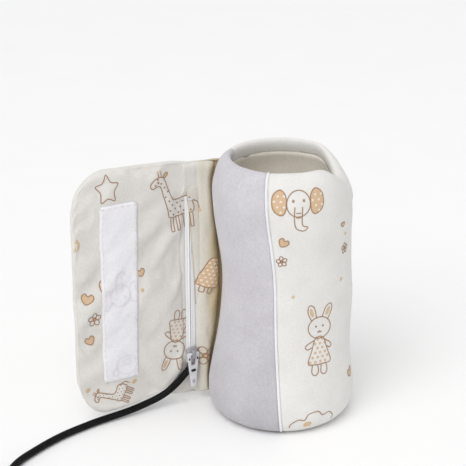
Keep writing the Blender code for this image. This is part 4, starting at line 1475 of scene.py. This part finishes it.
SLEEVE_MOTIFS = [
    (elephant(), 6.4, 120.6, 1.02, 0.0), (bunny(), 19.6, 47.5, 1.0, -2.0),
    (heart(0.9), -0.5, 103.0, 1.0, -30.0), (flower(), -1.2, 93.0, 0.62, 10.0),
    (heart(0.6), 33.5, 108.0, 1.0, 10.0), (blot(), 37.0, 101.5, 0.7, 0.0), (flower(), 36.5, 93.5, 0.6, 0.0),
    (cloud(), 15.0, 6.5, 0.95, 4.0), (heart(1.0), 43.0, 24.0, 1.0, 14.0), (blot(), 34.0, 78.0, 0.7, 20.0),
    (blot(), 5.0, 74.0, 0.6, 40.0), (star(), 54.0, 68.0, 0.9, 10.0), (bear(), 80.0, 92.0, 1.05, -10.0),
    (dress(), 62.0, 42.0, 1.1, 12.0), (elephant(), 88.0, 52.0, 0.85, 10.0),
    (heart(1.1), 70.0, 66.0, 1.0, 0.0),
    (cloud(), 72.0, 18.0, 0.9, -6.0), (flower(), 58.0, 112.0, 1.0, 0.0), (bunny(), 112.0, 88.0, 0.95, 6.0),
    (heart(1.0), 98.0, 114.0, 1.0, 20.0), (star(), 104.0, 24.0, 0.9, -14.0), (blot(), 92.0, 74.0, 0.9, 0.0),
    (bear(), 118.0, 48.0, 1.0, 8.0), (flower(), 124.0, 112.0, 0.9, 0.0),
    (heart(0.9), 126.0, 66.0, 1.0, -16.0), (blot(), 122.0, 22.0, 0.9, 0.0),
    (dress(), 134.0, 96.0, 1.0, -10.0),
]


def print_on_flap():
    tree = cloth_tree([flap_pad, fold_cloth])
    for side, motifs in ((1, INNER_MOTIFS), (-1, OUTER_MOTIFS)):
        spans = {"fold": (-9.5, 60.0), "near": (-PAD_SPLIT, -9.5), "far": (-80.0, -PAD_SPLIT)}
        face = "inner" if side > 0 else "outer"
        hits = flap_hits(tree, side)
        for part, (low, high) in spans.items():
            if side < 0:
                low, high = -high, -low
            form = draw_all(motifs)
            keep_between(form, low, high)
            piece = lay_on(form, hits, f"print_{part}_{face}", PRINT_INKS)
            if piece is None:
                continue
            {"fold": blend_fold, "near": bend_near, "far": bend_far}[part](piece)


def print_on_sleeve():
    tree = cloth_tree(sleeve_pieces)
    form = draw_all(SLEEVE_MOTIFS)
    piece = lay_on(form, sleeve_hits(tree), "print_sleeve", PRINT_INKS)
    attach(piece, "sleeve")


print_on_flap()
print_on_sleeve()


# Hook strip


def strip_edges(height):
    """Where the strip starts and ends along the flap. It leans a little, as it was sewn."""
    lean = STRIP_LEAN * (0.5 - (height - STRIP_HEIGHTS[0]) / (STRIP_HEIGHTS[1] - STRIP_HEIGHTS[0]))
    return STRIP_SPAN[0] + lean, STRIP_SPAN[1] + 0.4 * lean


def make_strip():
    """The hook strip: a thin tape with round corners, sewn on the pad's inner face."""
    on_pad = flap_hits(cloth_tree([flap_pad]), 1)

    def hits(along, height):
        return on_pad(-along, height)

    low, high = STRIP_HEIGHTS
    rows, places = [], []
    for height in spread(low, high, 62):
        first, last = strip_edges(height)
        end_gap = min(height - low, high - height)
        inset = 2.0 - math.sqrt(max(4.0 - (2.0 - min(end_gap, 2.0)) ** 2, 0.0))
        row = []
        for along in spread(first + inset, last - inset, 14):
            spot, normal = hits(along, height)
            edge = min(along - first, last - along, end_gap)
            row.append(spot + normal * (0.35 + 0.45 * step(0.0, 1.6, edge)) * MM)
            places.append((-along * MM, height * MM))
        rows.append(row)
    strip = sheet("hook_tape", rows, places, hook_look, 0.45)
    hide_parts("hook_strip")
    bend_far(strip)
    first, last = strip_edges(low)
    top_first, top_last = strip_edges(high)
    route = [(first + 1.2, low + 1.2), (last - 1.2, low + 1.2), (top_last - 1.2, high - 1.2),
             (top_first + 1.2, high - 1.2)]
    ghost = draw(place_motif(elephant(), -44.6, 70.0, 0.92, 186.0, True)
                 + place_motif(bear(), -42.0, 30.0, 0.75, 160.0))
    keep_between(ghost, -53.0, -36.4)
    shown = lay_on(ghost, flap_hits(cloth_tree([strip]), 1), "hook_tape_show_through",
                   [ghost_fill, ghost_line, ghost_fill, ghost_line])
    bend_far(shown)
    seam = make_stitches("hook_tape_stitches", route, True, hits, 0.95)
    bend_far(seam)


def make_stitches(name, route, closed, hits, lift, length=2.3, gap=1.1):
    """A row of thread stitches along a route of (along, height) places on a cloth."""
    line = resampled(route, closed, 0.5)
    form = bmesh.new()
    pitch = length + gap
    at = 0.0
    marks = []
    for (x0, y0), (x1, y1) in zip(line, line[1:] + (line[:1] if closed else [])):
        reach = math.hypot(x1 - x0, y1 - y0)
        while at < reach:
            marks.append((x0 + (x1 - x0) * at / reach, y0 + (y1 - y0) * at / reach,
                          (x1 - x0) / reach, (y1 - y0) / reach))
            at += pitch
        at -= reach
    for x, y, way_x, way_y in marks:
        ends = [hits(x + way_x * k, y + way_y * k) for k in (-length / 2, 0.0, length / 2)]
        if None in ends:
            continue
        spots = [spot + normal * lift * MM for spot, normal in ends]
        add_stitch(form, spots, ends[1][1])
    return from_form(name, form, thread)


def add_stitch(form, spots, normal):
    """One stitch: a short thread whose ends sink into the cloth."""
    way = (spots[2] - spots[0]).normalized()
    side = way.cross(normal).normalized()
    rings = []
    thick = 0.19 * MM
    for spot, size, drop in ((spots[0], 0.45, 0.25), (spots[0].lerp(spots[1], 0.4), 1.0, 0.0),
                             (spots[2].lerp(spots[1], 0.4), 1.0, 0.0), (spots[2], 0.45, 0.25)):
        middle = spot - normal * drop * MM
        rings.append([form.verts.new(middle + (side * math.cos(a) + normal * math.sin(a)) * thick * size)
                      for a in (0.0, math.pi / 3, 2 * math.pi / 3, math.pi, 1.5 * math.pi)])
    for near, far in zip(rings, rings[1:]):
        for j in range(5):
            k = (j + 1) % 5
            form.faces.new((near[j], far[j], far[k], near[k]))
    form.faces.new(list(reversed(rings[0])))
    form.faces.new(rings[-1])
    bmesh.ops.recalc_face_normals(form, faces=form.faces[-17:])


make_strip()


# Zip


def make_tapes():
    """The two zip tapes: ribbed cloth with a raised edge where they meet."""
    for side, name in ((-1, "right"), (1, "left")):
        rows, places = [], []
        for height in spread(ZIP_LOW, ZIP_HIGH, 90):
            row = []
            wander = 0.12 * noise.noise(Vector((height / 12.0, side, 5.0)))
            for k in range(15):
                out = 0.1 + 2.5 * k / 14
                ridge = 0.34 * bell(out - 0.55, 0.4) + 0.10 * bell(out - 1.5, 0.22)
                groove = -0.12 * bell(out - 1.15, 0.2)
                across = 1.98 + ridge + groove - 0.10 * step(2.2, 2.6, out)
                row.append(flap_point(ZIP_LINE + side * out + wander, across, height))
                places.append((side * out * MM, height * MM))
            rows.append(row)
        tape = sheet(f"zip_tape_cloth_{name}", rows, places, tape_cloth, 0.35)
        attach(tape, "flap_near")
        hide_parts(f"zip_tape_{name}")


def make_lip():
    """The edge of cloth that lies over the zip's upper right side, with the print that is on it."""
    rows, places = [], []
    for height in spread(LIP_LOW, LIP_LOW + LIP_TALL, 48):
        share = (height - LIP_LOW) / LIP_TALL
        end = 2.2 + 5.0 * share**1.2
        crest = 1.0 - 0.45 * step(95.0, 122.0, height)
        top = 1.35 + 2.4 * crest - 1.1 * step(0.14, 0.0, share)
        row = []
        for along in spread(LIP_START, end, LIP_POINTS - 1):
            far = (along - LIP_START) / (end - LIP_START)
            sink = 0.8 * step(0.12, 0.0, share) + 0.6 * step(0.95, 1.0, share)
            row.append(flap_point(along, top + (3.0 - sink - top) * far - 0.5 * far**6, height))
            places.append((-along * MM, height * MM))
        rows.append(row)
    verts, faces = grid(rows)
    lip = add_mesh("zip_lip", verts, faces, fold_look)
    # Painted shade: the lip is tinted a little where it leaves the bulge and brown at its free edge, a
    # painted shadow line along the gap over the zip.
    shares = [number % LIP_POINTS / (LIP_POINTS - 1) for number in range(len(verts))]
    set_painted_crevice_shade(lip, [0.27 * (1.0 - far) ** 1.5 + 0.62 * far**7 for far in shares])
    set_cloth_map(lip, places)
    if lip.data.polygons[0].normal.dot(ACROSS) < 0:
        lip.data.flip_normals()
    modify(lip, "SOLIDIFY", thickness=0.4 * MM, offset=-1.0)
    drawing = draw_all(INNER_MOTIFS)
    drawing = lay_on(drawing, flap_hits(cloth_tree([lip]), 1), "print_lip", PRINT_INKS)
    for piece in (lip, drawing):
        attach(piece, "flap_near")
        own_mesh(piece)


def refined(node, name, look, bevel, body):
    """A CAD piece with its edges rounded off, as it is moulded or cast."""
    def clean(form):
        bmesh.ops.remove_doubles(form, verts=form.verts, dist=1e-6)
        bmesh.ops.dissolve_limit(form, angle_limit=math.radians(2.0), verts=form.verts, edges=form.edges)

    piece = add_object(name, nodes[node].data.copy(), look, False)
    new_looks(piece, look)
    edit_mesh(piece, clean)
    modify(piece, "BEVEL", width=bevel * MM, segments=3, angle_limit=math.radians(40.0))
    piece.data.shade_smooth()
    piece.data.set_sharp_from_angle(angle=math.radians(50.0))
    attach(piece, body)
    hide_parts(node)
    return piece


def make_studs(name, middle, ovals, look, body):
    """Small flat ovals in a metal piece: (along, up, half width, half height, front, back) in mm."""
    form = bmesh.new()
    for x, up, wide, tall, front_lift, back_lift in ovals:
        front, back = [], []
        for u, v in oval(x, up, wide, tall, 0.0, 20):
            spot = middle + ALONG * u * MM + Vector((0, 0, v * MM))
            front.append(form.verts.new(spot + ACROSS * front_lift * MM))
            back.append(form.verts.new(spot + ACROSS * back_lift * MM))
        faces = [form.faces.new(front), form.faces.new(list(reversed(back)))]
        for i in range(20):
            k = (i + 1) % 20
            faces.append(form.faces.new((front[i], back[i], back[k], front[k])))
        bmesh.ops.recalc_face_normals(form, faces=faces)
    piece = from_form(name, form, look, False)
    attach(piece, body)


def make_puller_shade_and_stamp():
    """Black ovals that paint the shade in the puller's slot and the shadows beside its hinge, and the
    shallow oval stamped near its end.
    """
    pin = flap_point(ZIP_LINE, 4.25, PULLER_PIN)
    # Painted shade and shadows: a black oval in the slot and two small ones below the ring.
    make_studs("puller_painted_shade", pin, [(0.0, -7.45 * PULLER_STRETCH, 1.4, 0.75, 0.56, -0.3),
                                      (-2.25, -2.6, 0.4, 0.75, 0.56, -0.3),
                                      (2.25, -2.6, 0.4, 0.75, 0.56, -0.3)],
               black_plastic, "puller")
    make_studs("puller_stamp", pin, [(0.0, -12.4 * PULLER_STRETCH, 0.75, 1.2, 0.58, -0.3)],
               cast_look, "puller")


def make_slider_gap_shade():
    """Black ovals at the slider's sides that paint the shade in the gaps where the two rows of coils go in.
    """
    tree = cloth_tree([slider_body])
    middle = flap_point(ZIP_LINE, 0.0, PULLER_PIN)
    ovals = []
    for x, up, wide, tall in ((-1.9, 3.3, 0.55, 0.8), (1.9, 3.3, 0.55, 0.8), (-2.2, -1.2, 0.4, 0.9),
                              (2.2, -1.2, 0.4, 0.9)):
        start = middle + ALONG * x * MM + Vector((0, 0, up * MM)) + ACROSS * 12.0 * MM
        spot = tree.ray_cast(start, -ACROSS)[0]
        if spot is not None:
            front = flap_place(spot)[1]
            ovals.append((x, up, wide, tall, front + 0.06, front - 0.5))
    make_studs("slider_painted_gap_shade", middle, ovals, black_plastic, "slider")


make_tapes()
make_lip()
slider_body = refined("zip_slider", "slider_body", cast_look, 0.22, "slider")
puller_tab = refined("zip_puller", "puller_tab", slider_look, 0.2, "puller")
for vert in puller_tab.data.vertices:
    drop = max(PULLER_PIN - vert.co.z / MM, 0.0)
    aside = flap_place(vert.co)[0] - ZIP_LINE
    vert.co -= ALONG * aside * (0.022 * drop - 0.10) * MM
    vert.co.z -= drop * (PULLER_STRETCH - 1.0) * MM
make_puller_shade_and_stamp()
make_slider_gap_shade()
finish_pad(flap_pad)
blend_fold(fold_cloth)
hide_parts("fold_web")
bpy.data.objects.remove(flap_pad)


# CAD pieces that stay, with their own finishes


FINISHES = {
    "thermostat": black_plastic, "cable_gland": black_plastic, "cable_tie": black_plastic,
    "plug_relief": black_rubber, "plug_grip": black_plastic, "plug_shell": steel_look,
    "plug_tongue": tongue_look, "zip_coil_left": nylon_look, "zip_coil_right": nylon_look,
    "zip_top_stop": slider_look, "zip_bottom_stop": slider_look, "base_wadding": wadding_look,
}
FINISHES.update({f"plug_contact_{i}": gold_look for i in range(1, 5)})
for node_name, finish in FINISHES.items():
    kept = nodes[node_name]
    for number in range(len(kept.material_slots)):
        kept.material_slots[number].material = finish
